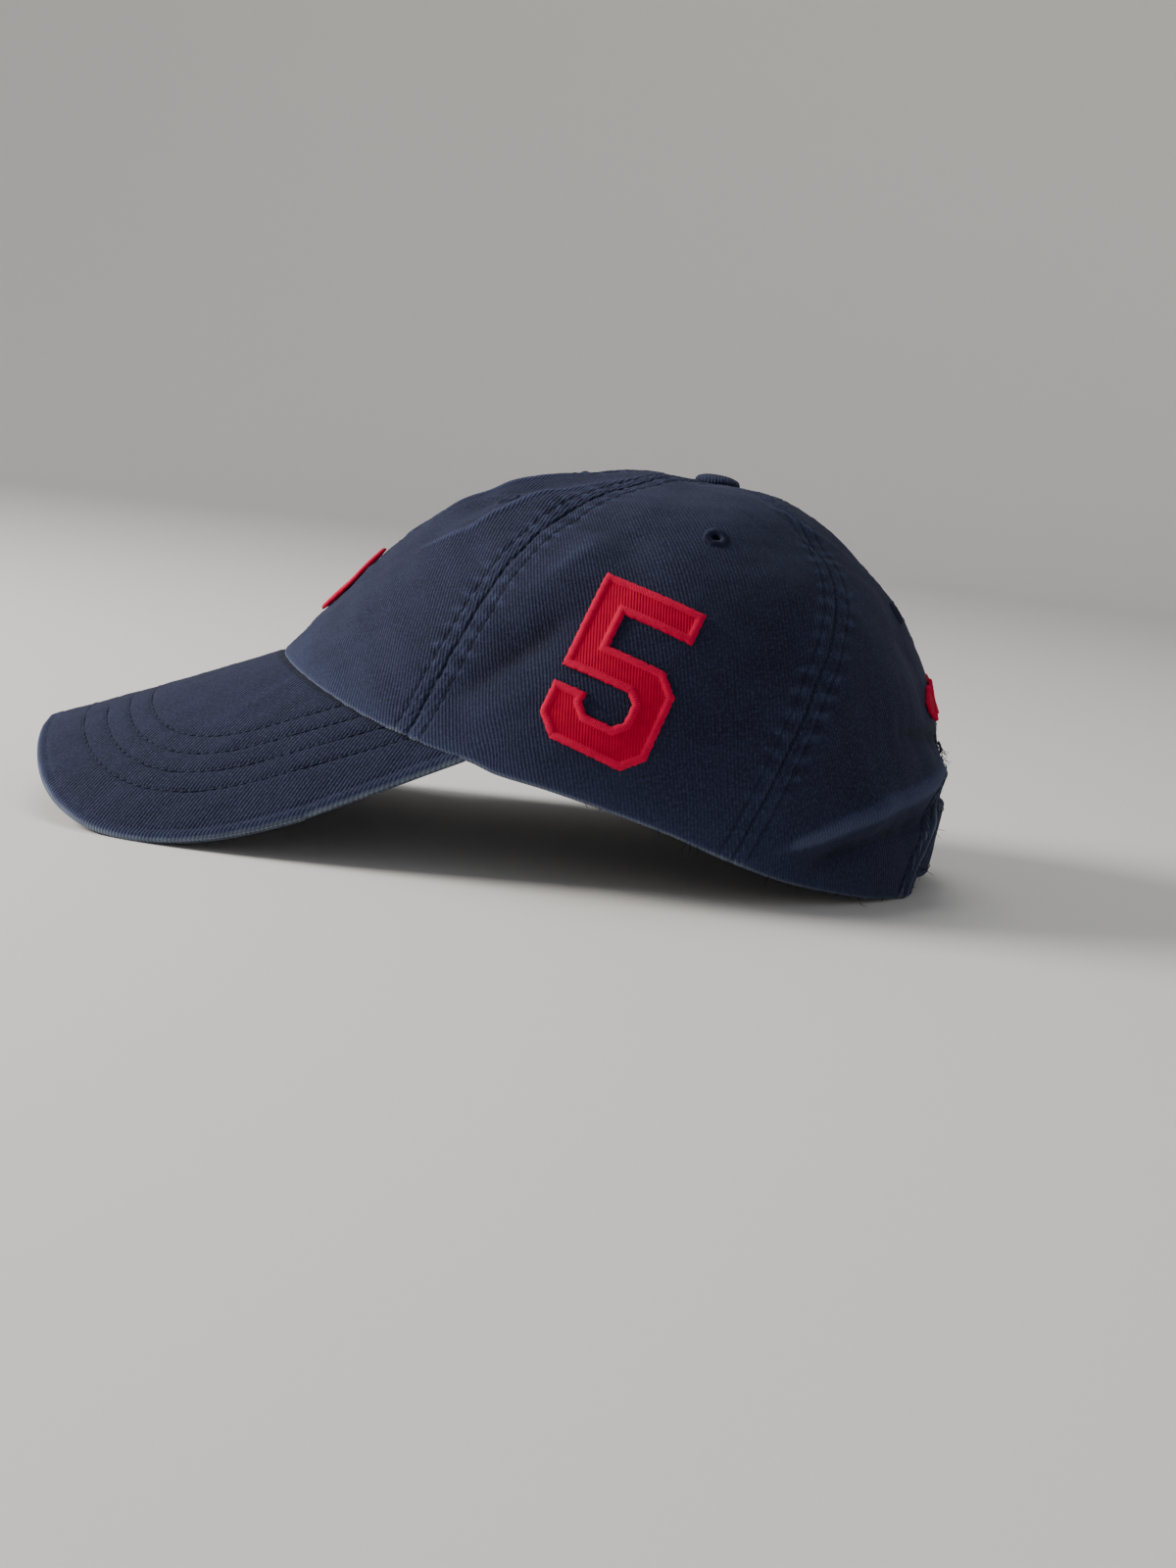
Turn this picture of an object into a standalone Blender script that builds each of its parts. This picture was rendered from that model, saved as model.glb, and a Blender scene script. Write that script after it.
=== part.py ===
"""A washed cotton twill baseball cap with six soft panels, a curved cloth-covered visor, a back opening
with its strap and slide, a covered top button, sewn eyelets and raised cloth patches.

Units are metres, +Z is up. The visor points along -X and the wearer's left is -Y. The cap stands on a
surface at z = 0, on the two wings of its visor and on the back of its rim.
"""
import math

import bmesh
import bpy
import numpy as np
from mathutils import Matrix, Vector

MM = 0.001

# The cloth and its clearances
WALL = 1.4 * MM              # folded twill wall of the crown
SEAM_GAP = 0.35 * MM         # between neighbouring panels
SEAT_GAP = 0.3 * MM          # between a piece and what it lies on
SEAM_DIP = 0.9 * MM          # how far a seam is drawn in
SEAM_HALF_WIDTH = 5.0 * MM   # from the seam to where the panel is full again
DIP_FADE_RIM = 0.08          # share of the seam over which its dip fades out at the rim
DIP_FADE_TOP = 0.12          # and at the button

# The crown, measured from the axis of its button
BUTTON_X = 28.0 * MM         # the button sits behind the middle of the rim
CROWN_FRONT = 123.4 * MM     # out to the middle of the visor's joint
CROWN_BACK = 79.0 * MM       # out to the fullest part of the back
CROWN_HALF_WIDTH = 83.0 * MM
CROWN_HEIGHT = 112.6 * MM    # above the lowest part of the rim
JOINT_HEIGHT = 48.5 * MM     # middle of the visor's joint above the lowest part of the rim
SIDE_HEIGHT = 24.0 * MM      # rim above the surface at the sides
PANEL_TOP = 0.035            # share of a seam's length that the button covers

# The visor, a stiff sheet bent round an axis that slopes down to the front
VISOR_LENGTH = 71.0 * MM     # along its crest
VISOR_HALF_WIDTH = 89.5 * MM     # along the bend
VISOR_BEND = 96.0 * MM       # radius of the bend
VISOR_SLOPE = 21.9           # degrees
VISOR_SAG = 1.4 * MM         # hollow of the crest line behind the tip
VISOR_SIDE_POWER = 3.4       # the outline's exponents: higher is squarer
VISOR_FRONT_POWER = 2.6
VISOR_CORNER = 67.0          # degrees round the rim, from the front
CORNER_BLEND = 8.0           # degrees over which the rim leaves the visor there
COVER_WALL = 1.5 * MM        # each cloth cover with its half of the stiffening

# The opening at the back, its strap and its slide
OPENING_HALF_WIDTH = 41.0 * MM   # along the rim
OPENING_HEIGHT = 42.0 * MM
STRAP_WIDTH = 22.0 * MM
STRAP_WALL = 1.4 * MM
STRAP_LAP = 11.0 * MM        # of each end, inside the panel
STRAP_FREE = 0.80            # share of the opening's half width over which the strap bulges
STRAP_BULGE = 1.5 * MM       # middle of the strap beyond the crown's own outline
STRAP_LIFT = 2.8 * MM        # of its lower edge above the rim
STRAP_EASE = 0.8 * MM        # more room round it, for its curve
SLIDE_ARC = -19.0 * MM       # from the middle of the back, on the wearer's right
SLIDE_LENGTH = 11.0 * MM
SLIDE_BAR = 1.8 * MM
SLIDE_PLAY = 0.6 * MM        # beside the strap's long edges
SLIDE_WALL = 1.2 * MM

# Small pieces
BUTTON_RADIUS = 7.2 * MM
BUTTON_RISE = 3.4 * MM
BUTTON_PROFILE = ((0.0, 1.0), (0.45, 0.93), (0.78, 0.70), (0.96, 0.38), (1.0, 0.12), (0.94, 0.0), (0.0, 0.0))
EYELET_RADIUS = 4.3 * MM
EYELET_HOLE = 1.6 * MM
EYELET_RISE = 1.0 * MM
EYELET_EASE = 0.15 * MM      # more room under it, for the panel's curve
PATCH_WALL = 1.1 * MM
NUMBER_WIDTH = 31.5 * MM
NUMBER_HEIGHT = 48.5 * MM
NUMBER_STROKE = 9.6 * MM
NUMBER_CHAMFER = 5.4 * MM
NUMBER_BOWL = 0.60           # height of the bowl, of the figure's
NUMBER_NOTCH = 0.45          # inner chamfers, of the outer ones
NUMBER_BAR = 0.94            # length of the top bar, of the figure's width
MOTIF_WIDTH = 20.0 * MM
MOTIF_HEIGHT = 26.0 * MM
MOTIF_CUT = 0.12             # of its points, as a share of its width and height
BAND_LENGTH = 58.0 * MM
BAND_HEIGHT = 11.0 * MM
BAND_LOZENGES = 5
BAND_NECK = 0.22             # height where two lozenges meet, of the row's
BAND_TIP = 0.12              # width of a lozenge's cut tip, of its own

# Level, turn and lean (degrees, from the way to the button) of what lies on the panels
EYELETS = (("front", 0.465, 24.0), ("side", 0.406, 90.5), ("back", 0.455, 158.0))
NUMBER_PLACE = (0.742, 81.5, 0.0)
MOTIF_PLACE = (0.800, -2.0, 0.0)
BAND_PLACE = (0.628, 180.0, 0.0)

# Fineness of the meshes
PANEL_ROWS = 20
PANEL_COLUMNS = 12
VISOR_ROWS = 8
VISOR_COLUMNS = 28
STRAP_COLUMNS = 26
PATCH_CELL = 7.0 * MM
BUTTON_STEPS = 20
EYELET_STEPS = 14
SEAT_STEPS = 24              # places round the button, and rows, where its seat is felt for
SEAT_ROWS = 4

# One row for each level of the crown, from the button down to the rim: how far out and how far down the
# front, the side and the back are, as shares of the crown's sizes, and where the two side seams run, in
# degrees round the level from the front
LEVEL_COLUMNS = ("level", "front_out", "front_down", "side_out", "side_down",
                 "back_out", "back_down", "front_seam", "back_seam")
LEVELS = (
    (0.000, 0.000, 0.000, 0.000, 0.000, 0.000, 0.000, 50.0, 130.0),
    (0.125, 0.148, -0.008, 0.205, 0.010, 0.245, 0.026, 46.5, 130.0),
    (0.250, 0.298, 0.020, 0.400, 0.050, 0.460, 0.100, 44.5, 129.0),
    (0.375, 0.448, 0.084, 0.585, 0.130, 0.650, 0.212, 44.0, 126.5),
    (0.500, 0.582, 0.192, 0.750, 0.255, 0.815, 0.338, 45.5, 123.0),
    (0.625, 0.703, 0.352, 0.875, 0.420, 0.925, 0.484, 47.5, 118.5),
    (0.750, 0.808, 0.552, 0.955, 0.610, 0.985, 0.650, 49.5, 114.5),
    (0.875, 0.905, 0.775, 0.995, 0.805, 1.015, 0.830, 51.5, 111.5),
    (1.000, 1.000, 1.000, 0.990, 1.000, 0.972, 1.000, 54.0, 110.0),
)

# Height of the rim behind the visor's corners, as a share of the joint's height
RIM_COLUMNS = ("turn", "height")
RIM = (
    (60.0, 0.720), (70.0, 0.620), (80.0, 0.560), (90.0, 0.480), (100.0, 0.375),
    (110.0, 0.245), (120.0, 0.140), (130.0, 0.075), (140.0, 0.025), (150.0, 0.000), (180.0, 0.000),
)

# Folds of the washed cloth, on the wearer's left and then on the right (turns past 180 degrees): where each
# starts and ends, its height as a share of FOLD_RISE (below zero for a valley) and its share of FOLD_SPREAD
FOLD_RISE = 3.0 * MM
FOLD_SPREAD = 10.0 * MM
FOLD_FADE_RIM = 0.06         # share of a panel over which folds fade out at the rim
FOLD_FADE_TOP = 0.15         # and at the button
FOLD_COLUMNS = ("from_level", "from_turn", "to_level", "to_turn", "height", "spread")
FOLDS = (
    (0.56, 13.0, 0.28, 6.0, 0.40, 0.9),
    (0.60, 18.0, 0.36, 19.0, -0.45, 0.9),
    (0.65, 24.0, 0.43, 32.0, 0.40, 0.9),
    (0.64, 60.0, 0.50, 63.0, 0.45, 0.9),
    (0.87, 57.0, 0.72, 64.0, -0.45, 0.9),
    (0.43, 50.0, 0.46, 68.0, -0.60, 1.1),
    (0.46, 96.0, 0.34, 124.0, -0.30, 0.9),
    (0.93, 119.0, 0.85, 134.0, 0.55, 0.8),
    (0.85, 134.0, 0.76, 158.0, 0.80, 0.8),
    (0.95, 128.0, 0.88, 144.0, -0.65, 0.8),
    (0.30, 130.0, 0.35, 165.0, -0.30, 0.8),
    (0.62, 341.0, 0.36, 350.0, -0.40, 0.8),
    (0.66, 333.0, 0.45, 325.0, 0.40, 0.7),
    (0.80, 302.0, 0.55, 296.0, -0.50, 1.0),
    (0.62, 262.0, 0.50, 286.0, 0.40, 1.0),
    (0.92, 238.0, 0.80, 214.0, 0.60, 0.9),
    (0.95, 228.0, 0.88, 216.0, -0.55, 0.8),
)


def column(table, columns, name):
    """One named column of a table, as an array."""
    return np.array([row[columns.index(name)] for row in table])


def smooth(x, xs, ys):
    """A cubic through the rows, whose slope at each row is the mean of the slopes on its two sides."""
    x = np.clip(x, xs[0], xs[-1])
    slope = np.diff(ys) / np.diff(xs)
    tangent = np.concatenate([slope[:1], (slope[:-1] + slope[1:]) / 2, slope[-1:]])
    i = np.clip(np.searchsorted(xs, x) - 1, 0, len(xs) - 2)
    h = xs[i + 1] - xs[i]
    t = (x - xs[i]) / h
    ends = (2 * t**3 - 3 * t**2 + 1) * ys[i] + (3 * t**2 - 2 * t**3) * ys[i + 1]
    return ends + h * ((t**3 - 2 * t**2 + t) * tangent[i] + (t**3 - t**2) * tangent[i + 1])


def level_value(name, level):
    """A column of the level table at any level."""
    return smooth(level, column(LEVELS, LEVEL_COLUMNS, "level"), column(LEVELS, LEVEL_COLUMNS, name))


def blend(x):
    """Rises smoothly from 0 to 1 as x does."""
    x = np.clip(x, 0.0, 1.0)
    return x * x * (3 - 2 * x)


def visor_hollow(angle, reach):
    """How far the sheet lies below a straight one: most along its crest line, midway to the tip."""
    u = np.clip(reach / VISOR_LENGTH, 0.0, 1.0)
    return VISOR_SAG * 4 * u * (1 - u) * np.cos(angle) ** 2


def visor_sheet(across, reach):
    """Point of the bent sheet, from its distance across the bend and its reach along the axis."""
    slope = math.radians(VISOR_SLOPE)
    angle = across / VISOR_BEND
    drop = VISOR_BEND * (1 - np.cos(angle)) + visor_hollow(angle, reach)
    x = BUTTON_X - CROWN_FRONT - reach * math.cos(slope) + drop * math.sin(slope)
    z = JOINT_HEIGHT - reach * math.sin(slope) - drop * math.cos(slope)
    return np.stack([x, -VISOR_BEND * np.sin(angle), z], axis=-1)


def visor_flat(x, y):
    """The reverse of visor_sheet behind the joint: across and reach of the sheet's point above (x, y)."""
    slope = math.radians(VISOR_SLOPE)
    angle = np.arcsin(np.clip(-y / VISOR_BEND, -1.0, 1.0))
    drop = VISOR_BEND * (1 - np.cos(angle))
    reach = (BUTTON_X - CROWN_FRONT - x + drop * math.sin(slope)) / math.cos(slope)
    return VISOR_BEND * angle, reach


def rim_plan(turn):
    """Plan of the rim: half an ellipse to the front and half a shorter one to the back."""
    c, q = np.cos(np.radians(turn)), np.sin(np.radians(turn))
    front = BUTTON_X - CROWN_FRONT
    back = BUTTON_X + CROWN_BACK * level_value("back_out", np.array(1.0))
    x = np.where(c > 0, front * c, -back * c)
    return x, -CROWN_HALF_WIDTH * level_value("side_out", np.array(1.0)) * q


def rim_height(turn):
    """The rim lies on the visor's sheet in front and follows the rim table behind it."""
    turn = np.abs((np.asarray(turn, float) + 180.0) % 360.0 - 180.0)
    x, y = rim_plan(turn)
    across, reach = visor_flat(x, y)
    on_visor = visor_sheet(across, np.minimum(reach, 0.0))[..., 2]
    table = JOINT_HEIGHT * smooth(turn, column(RIM, RIM_COLUMNS, "turn"), column(RIM, RIM_COLUMNS, "height"))
    share = blend((turn - VISOR_CORNER) / CORNER_BLEND + 0.5)
    return on_visor * (1 - share) + table * share


def crown_plain(level, turn):
    """The crown without folds: a closed curve at each level, elliptic to the front and to the back."""
    level, turn = np.broadcast_arrays(np.asarray(level, float), np.asarray(turn, float))
    c, q = np.cos(np.radians(turn)), np.sin(np.radians(turn))
    side_x = BUTTON_X * (1 - level**2)
    front_x = BUTTON_X - CROWN_FRONT * level_value("front_out", level)
    back_x = BUTTON_X + CROWN_BACK * level_value("back_out", level)
    x = side_x + np.where(c > 0, (front_x - side_x) * c, -(back_x - side_x) * c)
    y = -CROWN_HALF_WIDTH * level_value("side_out", level) * q
    front = (CROWN_HEIGHT - JOINT_HEIGHT) * level_value("front_down", level)
    side = (CROWN_HEIGHT - SIDE_HEIGHT) * level_value("side_down", level)
    back = CROWN_HEIGHT * level_value("back_down", level)
    down = side + (np.where(c > 0, front, back) - side) * c**2
    end = np.where(c > 0, CROWN_HEIGHT - JOINT_HEIGHT, CROWN_HEIGHT)
    end = (CROWN_HEIGHT - SIDE_HEIGHT) + (end - CROWN_HEIGHT + SIDE_HEIGHT) * c**2
    z = CROWN_HEIGHT - down + (rim_height(turn) - CROWN_HEIGHT + end) * level**3
    return np.stack([x, y, z], axis=-1)


def crown_normal(level, turn):
    """Outward normal of the plain crown."""
    step = 0.004
    level = np.maximum(np.asarray(level, float), step)
    down = crown_plain(level + step, turn) - crown_plain(level - step, turn)
    round_ = crown_plain(level, np.asarray(turn) + 0.5) - crown_plain(level, np.asarray(turn) - 0.5)
    normal = np.cross(round_, down)
    return -normal / np.linalg.norm(normal, axis=-1, keepdims=True)


def seam_dip(level, turn):
    """Depth of the groove along the four kinds of seam, which fades out at the rim."""
    turn = np.abs((turn + 180.0) % 360.0 - 180.0)
    step = crown_plain(level, turn + 0.5) - crown_plain(level, turn - 0.5)
    per_degree = np.linalg.norm(step, axis=-1)
    depth = np.zeros(np.shape(level))
    for seam in (0.0, level_value("front_seam", level), level_value("back_seam", level), 180.0):
        depth = np.maximum(depth, np.exp(-((turn - seam) * per_degree / SEAM_HALF_WIDTH) ** 2))
    return SEAM_DIP * depth * blend((1.0 - level) / DIP_FADE_RIM) * blend(level / DIP_FADE_TOP)


def fold_rise(points):
    """Sum of the folds: each is highest along its own line and falls off like a bell to both sides."""
    rise = np.zeros(points.shape[:-1])
    for row in FOLDS:
        fold = dict(zip(FOLD_COLUMNS, row))
        start = crown_plain(fold["from_level"], fold["from_turn"])
        line = crown_plain(fold["to_level"], fold["to_turn"]) - start
        along = np.clip(((points - start) @ line) / (line @ line), 0.0, 1.0)
        away = np.linalg.norm(points - start - along[..., None] * line, axis=-1)
        rise += FOLD_RISE * fold["height"] * np.exp(-((away / (FOLD_SPREAD * fold["spread"])) ** 2))
    return rise


def crown(level, turn):
    """The crown as it is worn and washed: its plain form with folds and drawn-in seams."""
    level, turn = np.broadcast_arrays(np.asarray(level, float), np.asarray(turn, float))
    points = crown_plain(level, turn)
    rise = fold_rise(points) * blend((1.0 - level) / FOLD_FADE_RIM) * blend(level / FOLD_FADE_TOP)
    return points + crown_normal(level, turn) * (rise - seam_dip(level, turn))[..., None]


def seam_length(turn):
    """Length of the crown from its button down to the rim."""
    points = crown_plain(np.linspace(0.0, 1.0, 80), turn)
    return np.linalg.norm(np.diff(points, axis=0), axis=1).sum()


def rim_lengths():
    """Turns from the middle of the back round to the side, and the rim's length up to each."""
    turns = np.linspace(180.0, 70.0, 221)
    steps = np.linalg.norm(np.diff(crown_plain(1.0, turns), axis=0), axis=1)
    return turns, np.concatenate([[0.0], np.cumsum(steps)])


def rim_turn(arc):
    """Angle round the rim at a distance from the middle of the back."""
    turns, lengths = rim_lengths()
    return np.interp(np.abs(arc), lengths, turns)


def material(name, colour, roughness, metallic=0.0):
    """A plain finish with one colour."""
    finish = bpy.data.materials.new(name)
    finish.use_nodes = True
    shader = finish.node_tree.nodes["Principled BSDF"]
    shader.inputs["Base Color"].default_value = (*colour, 1.0)
    shader.inputs["Roughness"].default_value = roughness
    shader.inputs["Metallic"].default_value = metallic
    return finish


def add_object(name, mesh, finish, collection):
    """Link a mesh to the scene as a named piece."""
    piece = bpy.data.objects.new(name, mesh)
    collection.objects.link(piece)
    if finish is not None:
        mesh.materials.append(finish)
    return piece


def sheet_mesh(name, points, flip=False):
    """A mesh of quads over a grid of points, which faces outwards where the grid turns left."""
    rows, columns = points.shape[:2]
    index = np.arange(rows * columns).reshape(rows, columns)
    quads = np.stack([index[:-1, :-1], index[1:, :-1], index[1:, 1:], index[:-1, 1:]], axis=-1).reshape(-1, 4)
    mesh = bpy.data.meshes.new(name)
    mesh.from_pydata(points.reshape(-1, 3).tolist(), [], (quads[:, ::-1] if flip else quads).tolist())
    mesh.shade_smooth()
    return mesh


def thicken(piece, wall):
    """Give an open sheet its wall, on its inner side."""
    solidify = piece.modifiers.new("wall", "SOLIDIFY")
    solidify.thickness = wall
    solidify.offset = -1.0
    solidify.use_even_offset = True


def edge_spacing(count):
    """Shares from 0 to 1 that lie closer together at both ends."""
    even = np.linspace(0.0, 1.0, count + 1)
    return (even + (1 - np.cos(math.pi * even)) / 2) / 2


def opening_hem(across):
    """Lower edge of a back panel: along the rim to the opening's foot and up its arch to the middle.

    Gives the share of the panel's width and the level at each share of the way along the edge.
    """
    turns, lengths = rim_lengths()
    panel_rim = np.interp(-level_value("back_seam", np.array(1.0)), -turns, lengths)
    foot = 1.0 - OPENING_HALF_WIDTH / panel_rim
    arch = OPENING_HEIGHT / seam_length(180.0)
    psi = np.clip((across - foot) / (1.0 - foot), 0.0, 1.0) * math.pi / 2
    share = np.where(across < foot, across, 1.0 - (1.0 - foot) * np.cos(psi))
    return share, 1.0 - arch * np.sin(psi)


def plain_hem(across):
    """Lower edge of a panel that ends at the rim."""
    return across, np.ones(across.shape)


def make_panel(name, first_seam, second_seam, side, hem, finish, collection):
    """One crown panel between two seams, each a function of level, on one side of the cap."""
    across, down = np.meshgrid(edge_spacing(PANEL_COLUMNS), np.linspace(0.0, 1.0, PANEL_ROWS + 1))
    hem_share, hem_level = hem(across)
    share = across + (hem_share - across) * down
    level = PANEL_TOP + (hem_level - PANEL_TOP) * down
    first, second = first_seam(level), second_seam(level)
    width = np.linalg.norm(crown_plain(level, first) - crown_plain(level, second), axis=-1)
    inset = SEAM_GAP / 2 / width
    turn = first + (second - first) * (inset + share * (1 - 2 * inset))
    piece = add_object(name, sheet_mesh(name, crown(level, side * turn), flip=side < 0), finish, collection)
    thicken(piece, WALL)
    return piece


def stand_frame(level, turn, lean=0.0):
    """Origin and axes on the crown's surface: right, up and out, with up leaning from the way to the button."""
    origin = crown(level, turn)
    out = crown_normal(level, turn)
    up = crown_plain(level - 0.01, turn) - crown_plain(level + 0.01, turn)
    up = up - out * (up @ out)
    up = up / np.linalg.norm(up)
    right = np.cross(up, out)
    lean = math.radians(lean)
    return origin, right * math.cos(lean) - up * math.sin(lean), up * math.cos(lean) + right * math.sin(lean), out


def lay_on_crown(flat, level, turn, lean, height):
    """Points of a flat shape (x right, y up) laid on the crown at a height, by Newton's method."""
    origin, right, up, out = stand_frame(level, turn, lean)
    place = np.tile([level, turn], (len(flat), 1)).astype(float)
    step = np.array([0.002, 0.4])
    for _ in range(14):
        here = crown(place[:, 0], place[:, 1]) - origin
        error = np.stack([here @ right, here @ up], axis=-1) - flat
        by_level = (crown(place[:, 0] + step[0], place[:, 1]) - origin - here) / step[0]
        by_turn = (crown(place[:, 0], place[:, 1] + step[1]) - origin - here) / step[1]
        a, b = by_level @ right, by_turn @ right
        c, d = by_level @ up, by_turn @ up
        fall = np.stack([d * error[:, 0] - b * error[:, 1], a * error[:, 1] - c * error[:, 0]], axis=-1)
        place -= np.clip(fall / (a * d - b * c)[:, None], (-0.05, -8.0), (0.05, 8.0))
    return crown(place[:, 0], place[:, 1]) + crown_normal(place[:, 0], place[:, 1]) * height


def make_patch(name, outline, level, turn, lean, finish, collection):
    """A flat cloth shape cut to an outline and laid on the crown with a small gap under it."""
    outline = np.array(outline)
    work = bmesh.new()
    work.faces.new([work.verts.new((x, y, 0.0)) for x, y in outline])
    for axis in (0, 1):
        for cut in np.arange(outline[:, axis].min() + PATCH_CELL / 2, outline[:, axis].max(), PATCH_CELL):
            normal = Vector((1, 0, 0)) if axis == 0 else Vector((0, 1, 0))
            geometry = work.verts[:] + work.edges[:] + work.faces[:]
            bmesh.ops.bisect_plane(work, geom=geometry, plane_co=normal * float(cut), plane_no=normal, dist=1e-7)
    bmesh.ops.triangulate(work, faces=work.faces[:])
    flat = np.array([vert.co[:2] for vert in work.verts])
    placed = lay_on_crown(flat, level, turn, lean, SEAT_GAP + PATCH_WALL)
    for vert, point in zip(work.verts, placed):
        vert.co = point
    mesh = bpy.data.meshes.new(name)
    work.normal_update()
    work.to_mesh(mesh)
    work.free()
    piece = add_object(name, mesh, finish, collection)
    thicken(piece, PATCH_WALL)
    return piece


def number_outline():
    """A block figure five, anticlockwise from its lower left, centred on its own middle."""
    w, h, t, c = NUMBER_WIDTH, NUMBER_HEIGHT, NUMBER_STROKE, NUMBER_CHAMFER
    bowl = h * NUMBER_BOWL
    inner = c * NUMBER_NOTCH
    bar = w * NUMBER_BAR
    points = [
        (c, 0), (w - c, 0), (w, c), (w, bowl - c), (w - c, bowl), (t, bowl), (t, h - t), (bar, h - t),
        (bar, h), (0, h), (0, bowl - t), (w - t - inner, bowl - t), (w - t, bowl - t - inner),
        (w - t, t + inner), (w - t - inner, t), (t + inner, t), (t, t + inner), (t, t + c), (0, t + c), (0, c),
    ]
    return [(x - w / 2, y - h / 2) for x, y in points]


def lozenge_outline(width, height):
    """A lozenge with its four points cut off."""
    across, up = MOTIF_CUT * width / 2, MOTIF_CUT * height / 2
    half = [(width / 2, -up), (width / 2, up), (across, height / 2)]
    return half + [(-across, height / 2)] + [(-x, -y) for x, y in half] + [(across, -height / 2)]


def lozenge_row_outline(length, height, count):
    """A row of lozenges that meet in short necks."""
    cell = length / count
    neck = height * BAND_NECK
    top = []
    for k in range(count):
        left = -length / 2 + k * cell
        top += [(left, neck / 2), (left + cell * (1 - BAND_TIP) / 2, height / 2),
                (left + cell * (1 + BAND_TIP) / 2, height / 2)]
    top.append((length / 2, neck / 2))
    return [(x, -y) for x, y in top] + top[::-1]


def turned(name, profile, steps, finish, collection):
    """A turned piece from a closed or pole-to-pole profile of (radius, height), top to bottom outside."""
    mesh = bpy.data.meshes.new(name)
    closed = profile[0][0] > 0
    count = len(profile)
    edges = [(k, (k + 1) % count) for k in range(count if closed else count - 1)]
    mesh.from_pydata([(radius, 0.0, height) for radius, height in profile], edges, [])
    piece = add_object(name, mesh, finish, collection)
    screw = piece.modifiers.new("turn", "SCREW")
    screw.axis = "Z"
    screw.steps = steps
    screw.render_steps = steps
    screw.use_merge_vertices = True
    screw.merge_threshold = 0.00001
    screw.use_normal_calculate = False
    return piece


def bend_to_crown(piece, level, turn):
    """Bend a turned piece's own mesh so that its base follows the crown, with a small gap under it."""
    bpy.context.view_layer.update()
    mesh = bpy.data.meshes.new_from_object(piece.evaluated_get(bpy.context.evaluated_depsgraph_get()))
    points = np.empty(len(mesh.vertices) * 3)
    mesh.vertices.foreach_get("co", points)
    points = points.reshape(-1, 3)
    height = points[:, 2:] + SEAT_GAP + EYELET_EASE
    mesh.vertices.foreach_set("co", lay_on_crown(points[:, :2], level, turn, 0.0, height).ravel())
    mesh.update()
    piece.modifiers.clear()
    piece.data = mesh


def place(piece, origin, out, up=(0.0, 0.0, 1.0)):
    """Stand a piece on a point with its own Z axis along the outward direction."""
    z = Vector(out).normalized()
    x = Vector(up).cross(z).normalized()
    turn = Matrix((x, z.cross(x), z)).transposed().to_4x4()
    piece.matrix_world = Matrix.Translation(Vector(origin)) @ turn


def make_crown(finish, collection):
    """Six panels: a front, a side and a back one on each side."""
    seams = (
        ("front", lambda level: np.zeros(level.shape), lambda level: level_value("front_seam", level), plain_hem),
        ("side", lambda level: level_value("front_seam", level),
         lambda level: level_value("back_seam", level), plain_hem),
        ("back", lambda level: level_value("back_seam", level),
         lambda level: np.full(level.shape, 180.0), opening_hem),
    )
    panels = {}
    for side, word in ((1, "left"), (-1, "right")):
        for name, first, second, hem in seams:
            panel = make_panel(f"{name}_panel_{word}", first, second, side, hem, finish, collection)
            panels[name, side] = panel
    return panels


def visor_grid(depth):
    """Grid of the bent sheet at a depth under its face, from the crown's joint out to the front edge."""
    share, out = np.meshgrid(np.linspace(-1.0, 1.0, VISOR_COLUMNS + 1), np.linspace(0.0, 1.0, VISOR_ROWS + 1))
    x, y = rim_plan(share * VISOR_CORNER)
    before, after = rim_plan(share * VISOR_CORNER - 0.5), rim_plan(share * VISOR_CORNER + 0.5)
    along = np.stack([after[0] - before[0], after[1] - before[1]])
    along = along / np.linalg.norm(along, axis=0)
    inner_across, inner_reach = visor_flat(x + along[1] * SEAT_GAP, y - along[0] * SEAT_GAP)
    psi = share * math.pi / 2
    outer_across = VISOR_HALF_WIDTH * np.sign(psi) * np.abs(np.sin(psi)) ** (2.0 / VISOR_SIDE_POWER)
    outer_reach = VISOR_LENGTH * np.abs(np.cos(psi)) ** (2.0 / VISOR_FRONT_POWER)
    across = inner_across + (outer_across - inner_across) * out
    reach = inner_reach + (outer_reach - inner_reach) * out
    step = 0.1 * MM
    by_across = visor_sheet(across + step, reach) - visor_sheet(across - step, reach)
    by_reach = visor_sheet(across, reach + step) - visor_sheet(across, reach - step)
    face = np.cross(by_reach, by_across)
    face = face / np.linalg.norm(face, axis=-1, keepdims=True)
    return visor_sheet(across, reach) - face * depth


def make_visor(finish, collection):
    """Two cloth covers, one on the other, each with its half of the stiff board."""
    for name, depth in (("visor_top", 0.0), ("visor_under", COVER_WALL + SEAT_GAP)):
        cover = add_object(name, sheet_mesh(name, visor_grid(depth)), finish, collection)
        thicken(cover, COVER_WALL)


def strap_edge(arc, level):
    """A long edge of the strap: inside the panels at its ends and proud of the crown in the middle."""
    turn = np.where(arc < 0, 360.0 - rim_turn(arc), rim_turn(arc))
    inside = WALL + SEAT_GAP + STRAP_EASE
    free = blend(1.0 - np.abs(arc) / (OPENING_HALF_WIDTH * STRAP_FREE))
    offset = (STRAP_BULGE + inside) * free - inside
    return crown(level, turn) + crown_normal(level, turn) * offset[:, None]


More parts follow.
